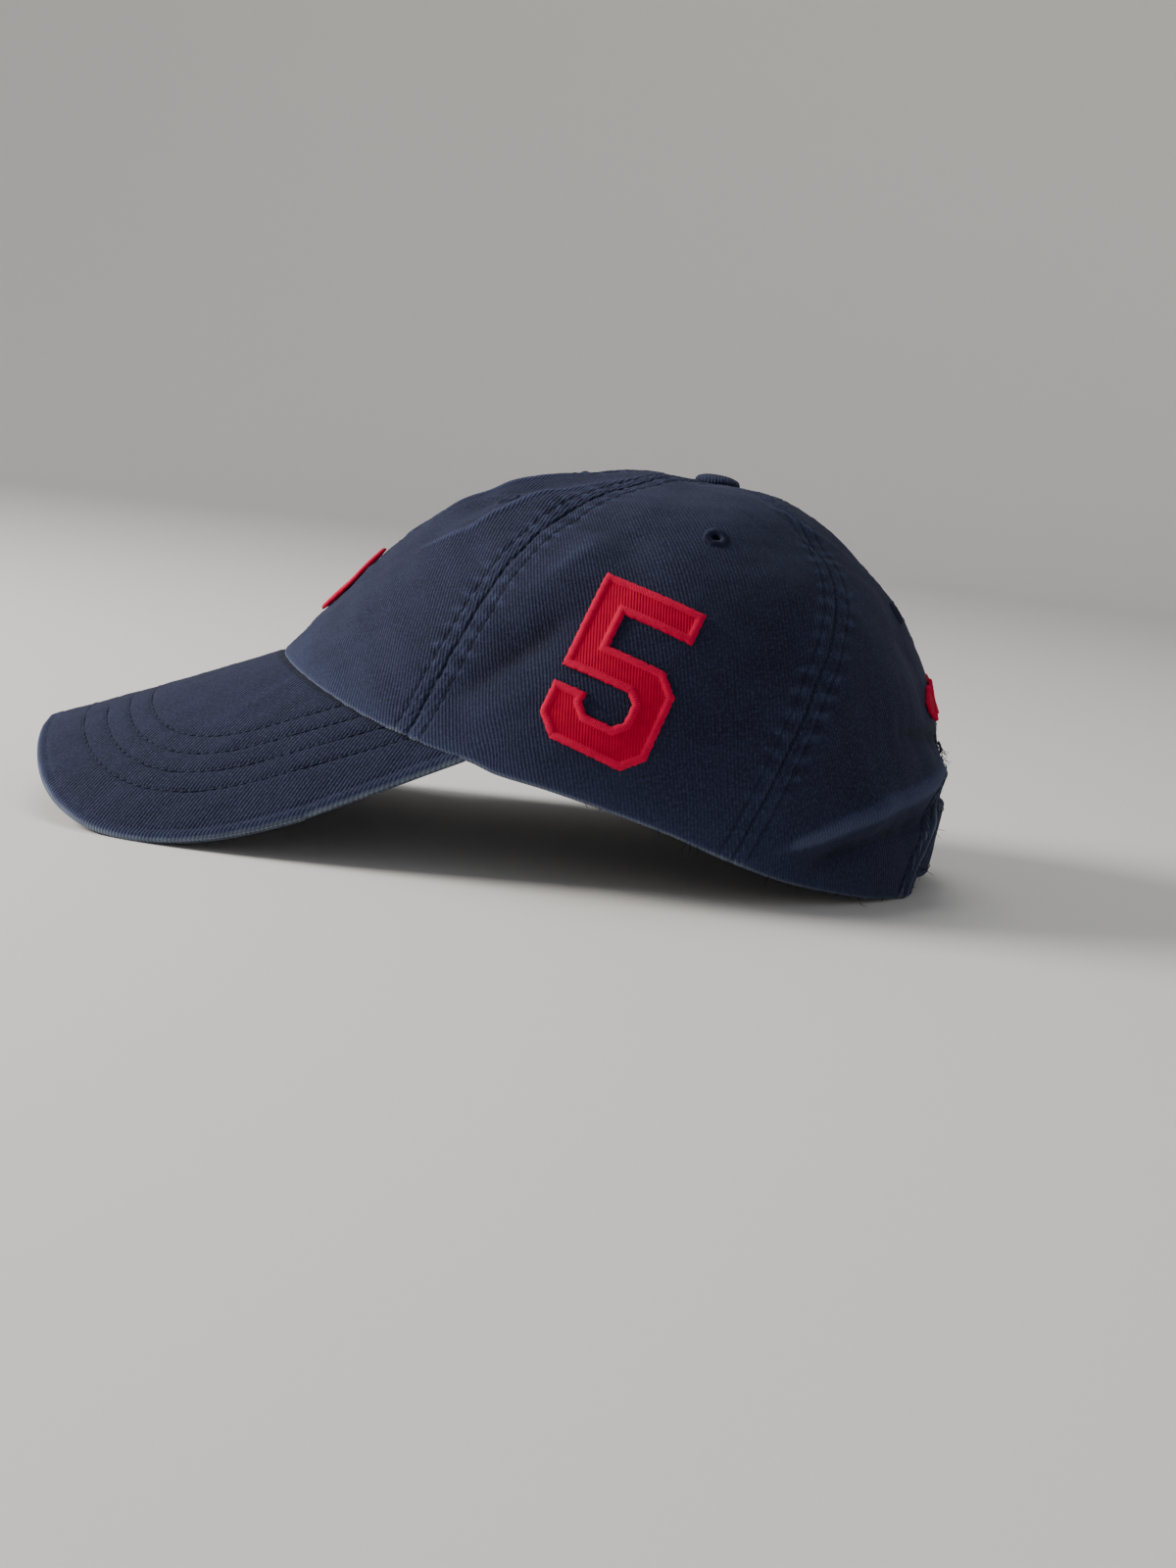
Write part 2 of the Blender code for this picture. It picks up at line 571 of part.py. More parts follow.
def make_strap(cloth, metal, collection, cutters):
    """The strap across the opening, straight over its width, and the slide that it passes through."""
    reach = OPENING_HALF_WIDTH + STRAP_LAP
    low_level = 1.0 - STRAP_LIFT / seam_length(180.0)
    high_level = low_level - STRAP_WIDTH / seam_length(180.0)
    arc = np.linspace(reach, -reach, STRAP_COLUMNS + 1)
    low, high = (strap_edge(arc, np.full(arc.shape, level)) for level in (low_level, high_level))
    rows = np.linspace(0.0, 1.0, 4)[:, None, None]
    strap = add_object("back_strap", sheet_mesh("back_strap", high + (low - high) * rows), cloth, collection)
    thicken(strap, STRAP_WALL)

    near = np.array([SLIDE_ARC - SLIDE_LENGTH / 2, SLIDE_ARC, SLIDE_ARC + SLIDE_LENGTH / 2])
    low, high = (strap_edge(near, np.full(near.shape, level)) for level in (low_level, high_level))
    up = high[1] - low[1]
    width = np.linalg.norm(up)
    along = (low[2] + high[2] - low[0] - high[0]) / 2
    out = np.cross(up, along)
    out = Vector(out if out[0] > 0 else -out).normalized()
    middle = Vector((low.mean(axis=0) + high.mean(axis=0)) / 2) - out * (STRAP_WALL / 2)
    clear = SEAT_GAP + STRAP_EASE
    slide = add_box("strap_slide", (SLIDE_LENGTH, width + 2 * (SLIDE_PLAY + SLIDE_BAR),
                                    STRAP_WALL + 2 * (clear + SLIDE_WALL)), metal, collection)
    slot = add_box("slide_slot", (SLIDE_LENGTH * 2, width + 2 * SLIDE_PLAY, STRAP_WALL + 2 * clear), None, cutters)
    for piece in (slide, slot):
        place(piece, middle, out, up)
    cut_with(slide, slot)


def add_box(name, size, finish, collection):
    """A box of three sizes, centred on its own origin."""
    mesh = bpy.data.meshes.new(name)
    work = bmesh.new()
    bmesh.ops.create_cube(work, size=1.0, matrix=Matrix.Diagonal((*size, 1.0)))
    work.to_mesh(mesh)
    work.free()
    return add_object(name, mesh, finish, collection)


def cut_with(piece, cutter):
    """Cut one piece with a hidden cutter."""
    cut = piece.modifiers.new(cutter.name, "BOOLEAN")
    cut.operation = "DIFFERENCE"
    cut.object = cutter
    cut.solver = "EXACT"
    cutter.hide_render = True
    cutter.display_type = "WIRE"


def make_button(finish, collection):
    """The cloth-covered button that closes the top, tilted as the crown is there."""
    profile = [(BUTTON_RADIUS * out, BUTTON_RISE * up) for out, up in BUTTON_PROFILE]
    button = turned("top_button", profile, BUTTON_STEPS, finish, collection)
    edge_level = BUTTON_RADIUS / seam_length(90.0)
    turns = np.arange(SEAT_STEPS) * 360.0 / SEAT_STEPS
    ring = crown(np.full(SEAT_STEPS, edge_level), turns)
    centre = ring.mean(axis=0)
    out = np.linalg.svd(ring - centre)[2][2]
    out = out if out[2] > 0 else -out
    around = crown(np.repeat(np.linspace(PANEL_TOP, edge_level, SEAT_ROWS), SEAT_STEPS), np.tile(turns, SEAT_ROWS))
    seat = ((around - centre) @ out).max() + SEAT_GAP
    place(button, centre + out * seat, out, (0.0, 1.0, 0.0))


def make_eyelets(panels, finish, collection, cutters):
    """A sewn ring on each panel, round a hole through it."""
    r, h, hole = EYELET_RADIUS, EYELET_RISE, EYELET_HOLE
    profile = [(hole, h * 0.55), (hole + 0.25 * (r - hole), h), (hole + 0.6 * (r - hole), h * 0.95),
               (r, h * 0.4), (r * 0.97, 0.0), (hole, 0.0)]
    for name, level, turn in EYELETS:
        for side, word in ((1, "left"), (-1, "right")):
            ring = turned(f"{name}_eyelet_{word}", profile, EYELET_STEPS, finish, collection)
            bend_to_crown(ring, level, side * turn)
            origin, _, up, out = stand_frame(level, side * turn)
            work = bmesh.new()
            bmesh.ops.create_cone(work, cap_ends=True, segments=12, radius1=hole, radius2=hole, depth=8 * WALL)
            mesh = bpy.data.meshes.new(f"{name}_hole_{word}")
            work.to_mesh(mesh)
            work.free()
            drill = add_object(mesh.name, mesh, None, cutters)
            place(drill, origin, out, up)
            cut_with(panels[name, side], drill)


def stand_on_origin(collection, cutters):
    """Move everything so that the middle of the base of its bounding box is the origin."""
    bpy.context.view_layer.update()
    graph = bpy.context.evaluated_depsgraph_get()
    points = []
    for piece in collection.objects:
        shaped = piece.evaluated_get(graph)
        points += [shaped.matrix_world @ vert.co for vert in shaped.data.vertices]
    low = Vector([min(point[axis] for point in points) for axis in range(3)])
    high = Vector([max(point[axis] for point in points) for axis in range(3)])
    shift = Vector((-(low.x + high.x) / 2, -(low.y + high.y) / 2, -low.z))
    for piece in list(collection.objects) + list(cutters.objects):
        piece.location += shift


def build():
    """Make every piece of the cap."""
    for old in list(bpy.data.objects):
        bpy.data.objects.remove(old, do_unlink=True)
    cap = bpy.data.collections.new("baseball_cap")
    cutters = bpy.data.collections.new("cutters")
    for collection in (cap, cutters):
        bpy.context.scene.collection.children.link(collection)
    twill = material("navy_twill", (0.030, 0.040, 0.085), 0.85)
    thread = material("navy_thread", (0.012, 0.018, 0.045), 0.70)
    red = material("red_twill", (0.480, 0.004, 0.020), 0.75)
    metal = material("aged_brass", (0.380, 0.300, 0.180), 0.40, 1.0)

    panels = make_crown(twill, cap)
    make_visor(twill, cap)
    make_strap(twill, metal, cap, cutters)
    make_button(twill, cap)
    make_eyelets(panels, thread, cap, cutters)
    make_patch("number_patch", number_outline(), *NUMBER_PLACE, red, cap)
    make_patch("front_emblem", lozenge_outline(MOTIF_WIDTH, MOTIF_HEIGHT), *MOTIF_PLACE, red, cap)
    band = lozenge_row_outline(BAND_LENGTH, BAND_HEIGHT, BAND_LOZENGES)
    make_patch("back_emblem", band, *BAND_PLACE, red, cap)
    stand_on_origin(cap, cutters)


build()
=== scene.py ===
"""The looks of a washed cotton twill baseball cap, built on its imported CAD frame."""
import math

import bmesh
import bpy
import numpy as np
from mathutils import Matrix, Vector
from mathutils.geometry import delaunay_2d_cdt


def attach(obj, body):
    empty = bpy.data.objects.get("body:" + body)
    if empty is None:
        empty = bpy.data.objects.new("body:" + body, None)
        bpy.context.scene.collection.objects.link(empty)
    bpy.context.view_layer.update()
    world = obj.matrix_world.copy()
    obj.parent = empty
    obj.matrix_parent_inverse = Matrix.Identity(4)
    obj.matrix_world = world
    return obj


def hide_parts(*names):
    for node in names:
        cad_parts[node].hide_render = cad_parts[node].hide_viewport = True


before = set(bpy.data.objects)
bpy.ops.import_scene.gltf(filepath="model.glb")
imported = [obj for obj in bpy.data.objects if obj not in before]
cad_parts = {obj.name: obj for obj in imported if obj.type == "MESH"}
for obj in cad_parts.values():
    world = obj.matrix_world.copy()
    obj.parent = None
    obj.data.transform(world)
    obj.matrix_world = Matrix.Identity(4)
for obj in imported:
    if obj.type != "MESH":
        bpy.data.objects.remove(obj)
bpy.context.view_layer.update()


# The crown: six soft panels of washed cotton twill, cut flat and sewn edge to edge with a lapped seam that
# two rows of topstitching hold down. Washing has shrunk the thread, so every seam is puckered, and the cloth
# keeps the folds in which it dried.
MM = 0.001
STAND = np.array([26.089, 0.726, 0.402]) * MM    # from the middle of the rim to the middle of the base
BUTTON_X = 28.0 * MM
CROWN_FRONT = 123.4 * MM
CROWN_BACK = 79.0 * MM
CROWN_HALF_WIDTH = 83.0 * MM
CROWN_HEIGHT = 112.6 * MM
JOINT_HEIGHT = 48.5 * MM
SIDE_HEIGHT = 24.0 * MM
PANEL_TOP = 0.035
CLOTH = 1.4 * MM
LEVEL_COLUMNS = ("level", "front_out", "front_down", "side_out", "side_down",
                 "back_out", "back_down", "front_seam", "back_seam")
LEVELS = np.array((
    (0.000, 0.000, 0.000, 0.000, 0.000, 0.000, 0.000, 50.0, 130.0),
    (0.125, 0.148, -0.008, 0.205, 0.010, 0.245, 0.026, 46.5, 130.0),
    (0.250, 0.298, 0.020, 0.400, 0.050, 0.460, 0.100, 44.5, 129.0),
    (0.375, 0.448, 0.084, 0.585, 0.130, 0.650, 0.212, 44.0, 126.5),
    (0.500, 0.582, 0.192, 0.750, 0.255, 0.815, 0.338, 45.5, 123.0),
    (0.625, 0.703, 0.352, 0.875, 0.420, 0.925, 0.484, 47.5, 118.5),
    (0.750, 0.808, 0.552, 0.955, 0.610, 0.985, 0.650, 49.5, 114.5),
    (0.875, 0.905, 0.775, 0.995, 0.805, 1.015, 0.830, 51.5, 111.5),
    (1.000, 1.000, 1.000, 0.990, 1.000, 0.972, 1.000, 54.0, 110.0),
))
RIM = np.array((
    (60.0, 0.720), (70.0, 0.620), (80.0, 0.560), (90.0, 0.480), (100.0, 0.375),
    (110.0, 0.245), (120.0, 0.140), (130.0, 0.075), (140.0, 0.025), (150.0, 0.000), (180.0, 0.000),
))
VISOR_BEND = 96.0 * MM
VISOR_SLOPE = math.radians(21.9)
VISOR_LENGTH = 71.0 * MM
VISOR_SAG = 0.5 * MM
VISOR_DROOP = 0.1 * MM       # of its tip, from wear
VISOR_CORNER = 67.0

# Folds: from level and turn, to level and turn, height and spread in millimetres. Broad ones first, which the
# solid has too, then the sharp creases on them.
FOLDS = (
    (0.56, 13, 0.28, 6, 1.2, 9), (0.6, 18, 0.36, 19, -1.35, 9), (0.65, 24, 0.43, 32, 1.2, 9),
    (0.64, 60, 0.5, 63, 1.35, 9), (0.87, 57, 0.72, 64, -1.35, 9), (0.43, 50, 0.46, 68, -1.8, 11),
    (0.46, 96, 0.34, 124, -0.9, 9), (0.93, 119, 0.85, 134, 1.65, 8), (0.85, 134, 0.76, 158, 2.4, 8),
    (0.95, 128, 0.88, 144, -1.95, 8), (0.3, 130, 0.35, 165, -0.9, 8), (0.62, 341, 0.36, 350, -1.2, 8),
    (0.66, 333, 0.45, 325, 1.2, 7), (0.8, 302, 0.55, 296, -1.5, 10), (0.62, 262, 0.5, 286, 1.2, 10),
    (0.92, 238, 0.8, 214, 1.8, 9), (0.95, 228, 0.88, 216, -1.65, 8), (0.54, 152, 0.54, 208, -1.8, 12),
    (0.65, 155, 0.65, 205, -1.6, 8), (0.74, 155, 0.74, 205, -2.6, 4.6), (0.86, 155, 0.86, 205, -0.5, 6),
    (0.28, -10, 0.28, 20, -1.3, 8), (0.15, -40, 0.15, 30, 1, 10),
)
CREASES = (
    (0.6, 10, 0.27, 7, 0.85, 1.5), (0.66, 22, 0.57, 29.5, 0.75, 1.4), (0.57, 29.5, 0.33, 31.5, 0.85, 1.4),
    (0.33, 31.5, 0.2, 36, 0.6, 1.4), (0.27, 7, 0.17, 4, 0.5, 1.5), (0.5, 14, 0.42, 22, 0.45, 1.4),
    (0.52, 20, 0.36, 18, -0.55, 3), (0.62, 57, 0.47, 62, 0.5, 3.5), (0.88, 57, 0.7, 65, -0.85, 3.2),
    (0.76, 63, 0.62, 69, -0.45, 3.5), (0.44, 52, 0.47, 70, -0.6, 4), (0.99, 113, 0.93, 119.5, 0.55, 2.2),
    (0.93, 119.5, 0.84, 135, 1.5, 2.6), (0.84, 135, 0.77, 160, 1.6, 2.8), (0.97, 123, 0.88, 140, -1.4, 3.8),
    (0.89, 141, 0.81, 164, -1.5, 3.4), (0.9, 150, 0.79, 170, 0.7, 2.6), (0.3, 132, 0.35, 160, -0.45, 3),
    (0.5, 140, 0.6, 165, -0.4, 4), (0.62, 341, 0.36, 350, -0.55, 3), (0.68, 334, 0.45, 326, 0.6, 2),
    (0.88, 304, 0.66, 297, -0.75, 3.4), (0.6, 262, 0.48, 284, 0.5, 3.6), (0.93, 240, 0.8, 214, 0.9, 2.6),
    (0.96, 232, 0.88, 216, -0.8, 3.4), (0.712, 140, 0.705, 176, -1.7, 3), (0.742, 146, 0.737, 176, 0.3, 3),
    (0.22, 112, 0.27, 134, 0.6, 2.6), (0.27, 134, 0.38, 160, 0.7, 2.6), (0.34, 130, 0.43, 155, -0.55, 4),
)
CREASE_SHARE = 0.90          # of the creases' height, in the bare cloth
BACKED_CREASE_SHARE = 0.40   # the same where something is sewn on
SEAM_LENGTH = 148.0 * MM     # from the button to the rim
SEAM_ROW = 4.3 * MM          # from the seam to each row of topstitching
SEAM_REACH = 14.0 * MM       # of its puckers
CENTRE_DEPTH = 0.6           # of the relief of the two centre seams, which are pressed flatter
PUCKER_WAVE = 5.6 * MM


def smooth(x, xs, ys):
    """A cubic through the rows, whose slope at each row is the mean of the slopes on its two sides."""
    x = np.clip(x, xs[0], xs[-1])
    slope = np.diff(ys) / np.diff(xs)
    tangent = np.concatenate([slope[:1], (slope[:-1] + slope[1:]) / 2, slope[-1:]])
    i = np.clip(np.searchsorted(xs, x) - 1, 0, len(xs) - 2)
    h = xs[i + 1] - xs[i]
    t = (x - xs[i]) / h
    ends = (2 * t**3 - 3 * t**2 + 1) * ys[i] + (3 * t**2 - 2 * t**3) * ys[i + 1]
    return ends + h * ((t**3 - 2 * t**2 + t) * tangent[i] + (t**3 - t**2) * tangent[i + 1])


def level_value(name, level):
    """A column of the level table at any level."""
    return smooth(level, LEVELS[:, 0], LEVELS[:, LEVEL_COLUMNS.index(name)])


def blend(x):
    """Rises smoothly from 0 to 1 as x does: three times its square less twice its cube."""
    x = np.clip(x, 0.0, 1.0)
    return x * x * (3 - 2 * x)


def bell(x, width):
    """A bell curve: e to the power of minus the square of x over the width."""
    return np.exp(-((x / width) ** 2))


def visor_sheet(across, reach):
    """The visor's top: a sheet bent to a circle round an axis that slopes down to the front, with a slight
    hollow behind a drooping tip."""
    angle = across / VISOR_BEND
    u = np.clip(reach / VISOR_LENGTH, 0.0, 1.0)
    hollow = VISOR_SAG * 4 * u * (1 - u) + VISOR_DROOP * u**4
    drop = VISOR_BEND * (1 - np.cos(angle)) + hollow * np.cos(angle) ** 2
    x = BUTTON_X - CROWN_FRONT - reach * math.cos(VISOR_SLOPE) + drop * math.sin(VISOR_SLOPE)
    z = JOINT_HEIGHT - reach * math.sin(VISOR_SLOPE) - drop * math.cos(VISOR_SLOPE)
    return np.stack([x, -VISOR_BEND * np.sin(angle), z], axis=-1)


def visor_flat(x, y):
    """Distance across the bend and reach along its axis of the sheet's point over (x, y)."""
    angle = np.arcsin(np.clip(-y / VISOR_BEND, -1.0, 1.0))
    drop = VISOR_BEND * (1 - np.cos(angle))
    forward = BUTTON_X - CROWN_FRONT - x + drop * math.sin(VISOR_SLOPE)
    return VISOR_BEND * angle, forward / math.cos(VISOR_SLOPE)


def rim_plan(turn):
    """Plan of the rim: half an ellipse to the front and half a shorter one to the back."""
    c, q = np.cos(np.radians(turn)), np.sin(np.radians(turn))
    front = BUTTON_X - CROWN_FRONT
    back = BUTTON_X + CROWN_BACK * level_value("back_out", np.array(1.0))
    side = -CROWN_HALF_WIDTH * level_value("side_out", np.array(1.0))
    return np.where(c > 0, front * c, -back * c), side * q


def rim_height(turn):
    """The rim lies on the visor's sheet in front and follows the rim table behind it."""
    turn = np.abs((np.asarray(turn, float) + 180.0) % 360.0 - 180.0)
    across, reach = visor_flat(*rim_plan(turn))
    on_visor = visor_sheet(across, np.minimum(reach, 0.0))[..., 2]
    share = blend((turn - VISOR_CORNER + 4.0) / 8.0)
    return on_visor * (1 - share) + JOINT_HEIGHT * smooth(turn, RIM[:, 0], RIM[:, 1]) * share


def crown_plain(level, turn):
    """The crown without folds: at each level, half an ellipse to the front and half another to the back."""
    level, turn = np.broadcast_arrays(np.asarray(level, float), np.asarray(turn, float))
    c, q = np.cos(np.radians(turn)), np.sin(np.radians(turn))
    side_x = BUTTON_X * (1 - level**2)
    front_x = BUTTON_X - CROWN_FRONT * level_value("front_out", level)
    back_x = BUTTON_X + CROWN_BACK * level_value("back_out", level)
    x = side_x + np.where(c > 0, (front_x - side_x) * c, -(back_x - side_x) * c)
    y = -CROWN_HALF_WIDTH * level_value("side_out", level) * q
    front = (CROWN_HEIGHT - JOINT_HEIGHT) * level_value("front_down", level)
    side = (CROWN_HEIGHT - SIDE_HEIGHT) * level_value("side_down", level)
    down = side + (np.where(c > 0, front, CROWN_HEIGHT * level_value("back_down", level)) - side) * c**2
    end = np.where(c > 0, CROWN_HEIGHT - JOINT_HEIGHT, CROWN_HEIGHT)
    end = (CROWN_HEIGHT - SIDE_HEIGHT) + (end - CROWN_HEIGHT + SIDE_HEIGHT) * c**2
    z = CROWN_HEIGHT - down + (rim_height(turn) - CROWN_HEIGHT + end) * level**3
    return np.stack([x, y, z], axis=-1)


def crown_normal(level, turn):
    """Outward normal of the plain crown, from small steps down and round."""
    level = np.maximum(np.asarray(level, float), 0.004)
    down = crown_plain(level + 0.004, turn) - crown_plain(level - 0.004, turn)
    round_ = crown_plain(level, np.asarray(turn) + 0.5) - crown_plain(level, np.asarray(turn) - 0.5)
    normal = np.cross(round_, down)
    return -normal / np.linalg.norm(normal, axis=-1, keepdims=True)


def degree_length(level, turn):
    """Length round the crown of one degree of turn."""
    return np.linalg.norm(crown_plain(level, turn + 0.5) - crown_plain(level, turn - 0.5), axis=-1)


def seam_turns(level):
    """Turn of each of the four seams of one side, from the front to the back."""
    return level * 0.0, level_value("front_seam", level), level_value("back_seam", level), level * 0.0 + 180.0


def fold_room(level):
    """Share of the folds that is left near the rim and the button, which hold the cloth flat."""
    return blend((1.0 - level) / 0.06) * blend(level / 0.15)


def fold_sum(points, folds):
    """Sum of folds: each is highest along its own line and falls off like a bell to both sides and past its
    ends. The line is straight, or follows the crown in six straight steps where the fold is sharp or long."""
    rise = np.zeros(points.shape[:-1])
    for from_level, from_turn, to_level, to_turn, height, spread in folds:
        steps = 6 if spread < 5.5 or abs(to_turn - from_turn) > 40.0 else 1
        share = np.linspace(0.0, 1.0, steps + 1)
        corner = crown_plain(from_level + (to_level - from_level) * share,
                             from_turn + (to_turn - from_turn) * share)
        nearest, along = np.full(rise.shape, 1.0), np.zeros(rise.shape)
        for k in range(steps):
            line = corner[k + 1] - corner[k]
            part = np.clip(((points - corner[k]) @ line) / (line @ line), 0.0, 1.0)
            away = np.linalg.norm(points - corner[k] - part[..., None] * line, axis=-1)
            along = np.where(away < nearest, (k + part) / steps, along)
            nearest = np.minimum(nearest, away)
        taper = 1.0
        if spread < 5.0:
            taper = 0.35 + 0.65 * np.sin(math.pi * np.clip(along, 0.02, 0.98)) ** 0.5
        rise += height * MM * taper * bell(nearest, spread * MM)
    return rise


def ripple(a, b, wave, seed):
    """Irregular waves from -1 to 1: six sines of about one wavelength, each in a direction and phase of its
    own."""
    rng = np.random.default_rng(seed)
    angles, phases = rng.uniform(0, math.pi, 6), rng.uniform(0, 2 * math.pi, 6)
    total = np.zeros(np.broadcast(a, b).shape)
    for angle, phase, factor in zip(angles, phases, rng.uniform(0.7, 1.5, 6)):
        total += np.sin((a * math.cos(angle) + b * math.sin(angle)) * 2 * math.pi * factor / wave + phase)
    return total / 3.0


def seam_relief(along, away, seed):
    """Height, wear and painted shading beside a seam: a narrow ditch, a padded lap on each side that ends in
    the stitched row, and puckers, which are uneven waves along the seam, strongest at the row and weaker near
    the button and the rim. The painted shading darkens the puckers' troughs, the ditch and the rows' grooves."""
    d = np.abs(away)
    strength = 0.72 + 0.28 * ripple(along, np.zeros_like(along), 31 * MM, seed + 90)
    near_rim, off_button = blend((along - 112 * MM) / (20 * MM)), blend((along - 35 * MM) / (25 * MM))
    strength *= 1.0 - 0.70 * near_rim - 0.45 * (1.0 - off_button)
    drift = 1.1 * ripple(along, away * 1.5, 26 * MM, seed + 70) + 120.0 * away
    wave = np.sin(along * 2 * math.pi / PUCKER_WAVE + drift) + 0.45 * ripple(along, away, 5.5 * MM, seed)
    wave *= strength
    fine = ripple(along, away * 1.4, PUCKER_WAVE * 0.42, seed + 50)
    at_row = bell(d - SEAM_ROW, 2.6 * MM)
    pucker = 0.25 * wave * at_row + 0.17 * fine * bell(d, 4.4 * MM)
    lap = 0.13 * bell(d - 2.3 * MM, 1.7 * MM) * (0.8 + 0.2 * fine)
    ditch = -0.50 * bell(d, 0.50 * MM) - 0.28 * bell(d - SEAM_ROW, 0.50 * MM)
    broad = -0.30 * bell(d, 5.0 * MM)
    wear = 1.40 * np.clip(wave - 0.05, 0, 1) * at_row
    wear += 0.22 * np.clip(fine, 0, 1) * bell(d, 4.0 * MM)
    wear += 0.40 * bell(d - 1.0 * MM, 0.5 * MM) * (0.55 + 0.45 * fine)
    wear += 0.34 * bell(d - SEAM_ROW + 1.0 * MM, 0.5 * MM) * (0.6 + 0.4 * wave)
    # Painted shading: darker in the puckers' troughs, the seam's ditch and the grooves of the stitched rows.
    painted_shade = 0.48 * np.clip(-wave - 0.05, 0, 1) * at_row
    painted_shade += 0.65 * bell(d, 0.45 * MM) + 0.60 * bell(d - SEAM_ROW, 0.42 * MM)
    return (pucker + lap + ditch + broad) * MM, np.minimum(wear, 0.75), painted_shade


def crown_cloth(level, turn):
    """The washed crown: plain form, folds, creases, slow unevenness of the cloth and the relief of the seams.
    Gives points, outward normals, wear and painted shading (in the seams and in the creases' valleys)."""
    level, turn = np.broadcast_arrays(np.asarray(level, float), np.asarray(turn, float))
    turn = (turn + 180.0) % 360.0 - 180.0
    plain, normal, room = crown_plain(level, turn), crown_normal(level, turn), fold_room(level)
    x, y, z = np.moveaxis(plain, -1, 0)
    creases = CREASE_SHARE * fold_sum(plain, CREASES) * room
    rise = fold_sum(plain, FOLDS) * room + creases
    uneven = 0.30 * ripple(x, y + z, 52 * MM, 8) + 0.30 * ripple(x + z, y - 0.5 * z, 24 * MM, 5)
    rise += (uneven + 0.08 * ripple(x - z, y + 0.7 * z, 9 * MM, 6)) * MM * room
    wear, painted_shade = np.zeros(level.shape), np.zeros(level.shape)
    size, own = np.abs(turn), 3 if turn.mean() <= 0 else 0
    _, front_seam, back_seam, _ = seam_turns(level)
    for seed, degrees, depth in ((20, turn, CENTRE_DEPTH), (27 + own, size - front_seam, 1.0),
                                 (34 + own, size - back_seam, 1.0),
                                 (41, (size - 180.0) * np.where(turn > 0, 1.0, -1.0), CENTRE_DEPTH)):
        away = degrees * degree_length(level, turn)
        height, worn, painted_dark = seam_relief(level * SEAM_LENGTH, away, seed)
        near = (np.abs(away) < SEAM_REACH) * blend(level / 0.10)
        rise += height * near * depth
        wear += worn * near
        painted_shade += painted_dark * near
    wear += 2.6 * np.clip(creases / MM - 0.28, 0, 0.30) + 0.20 * np.clip(creases / MM, 0, 1.0)
    # Painted shading in the valleys of the creases.
    painted_shade += np.clip(-creases / MM, 0, 1.2) * 0.55
    return plain + normal * rise[..., None], normal, wear, painted_shade


def hem_turns():
    """Turns from the middle of the back round to the side, and the rim's length up to each."""
    turns = np.linspace(180.0, 70.0, 221)
    steps = np.linalg.norm(np.diff(crown_plain(1.0, turns), axis=0), axis=1)
    return turns, np.concatenate([[0.0], np.cumsum(steps)])


OPENING_HALF_WIDTH = 39.5 * MM
OPENING_HEIGHT = 42.0 * MM
BACK_LENGTH = np.linalg.norm(np.diff(crown_plain(np.linspace(0, 1, 80), 180.0), axis=0), axis=1).sum()


def opening_hem(across):
    """Lower edge of a back panel: along the rim to the opening's foot, then a quarter of an ellipse up to the
    middle."""
    turns, lengths = hem_turns()
    panel_rim = np.interp(-level_value("back_seam", np.array(1.0)), -turns, lengths)
    foot = 1.0 - OPENING_HALF_WIDTH / panel_rim
    psi = np.clip((across - foot) / (1.0 - foot), 0.0, 1.0) * math.pi / 2
    share = np.where(across < foot, across, 1.0 - (1.0 - foot) * np.cos(psi))
    return share, 1.0 - OPENING_HEIGHT / BACK_LENGTH * np.sin(psi)


def plain_hem(across):
    """Lower edge of a panel that ends at the rim."""
    return across, np.ones(across.shape)


def near_line(points, line):
    """Distance of each point to the nearest of a line's points."""
    flat = points.reshape(-1, 3)
    found = np.full(len(flat), 1.0)
    for part in np.array_split(line, max(1, len(line) // 40)):
        found = np.minimum(found, np.linalg.norm(flat[:, None] - part[None], axis=-1).min(axis=1))
    return found.reshape(points.shape[:-1])


def grid_quads(index):
    """Four-sided faces between the rows and columns of a grid of point numbers."""
    return np.stack([index[:-1, :-1], index[1:, :-1], index[1:, 1:], index[:-1, 1:]], axis=-1).reshape(-1, 4)


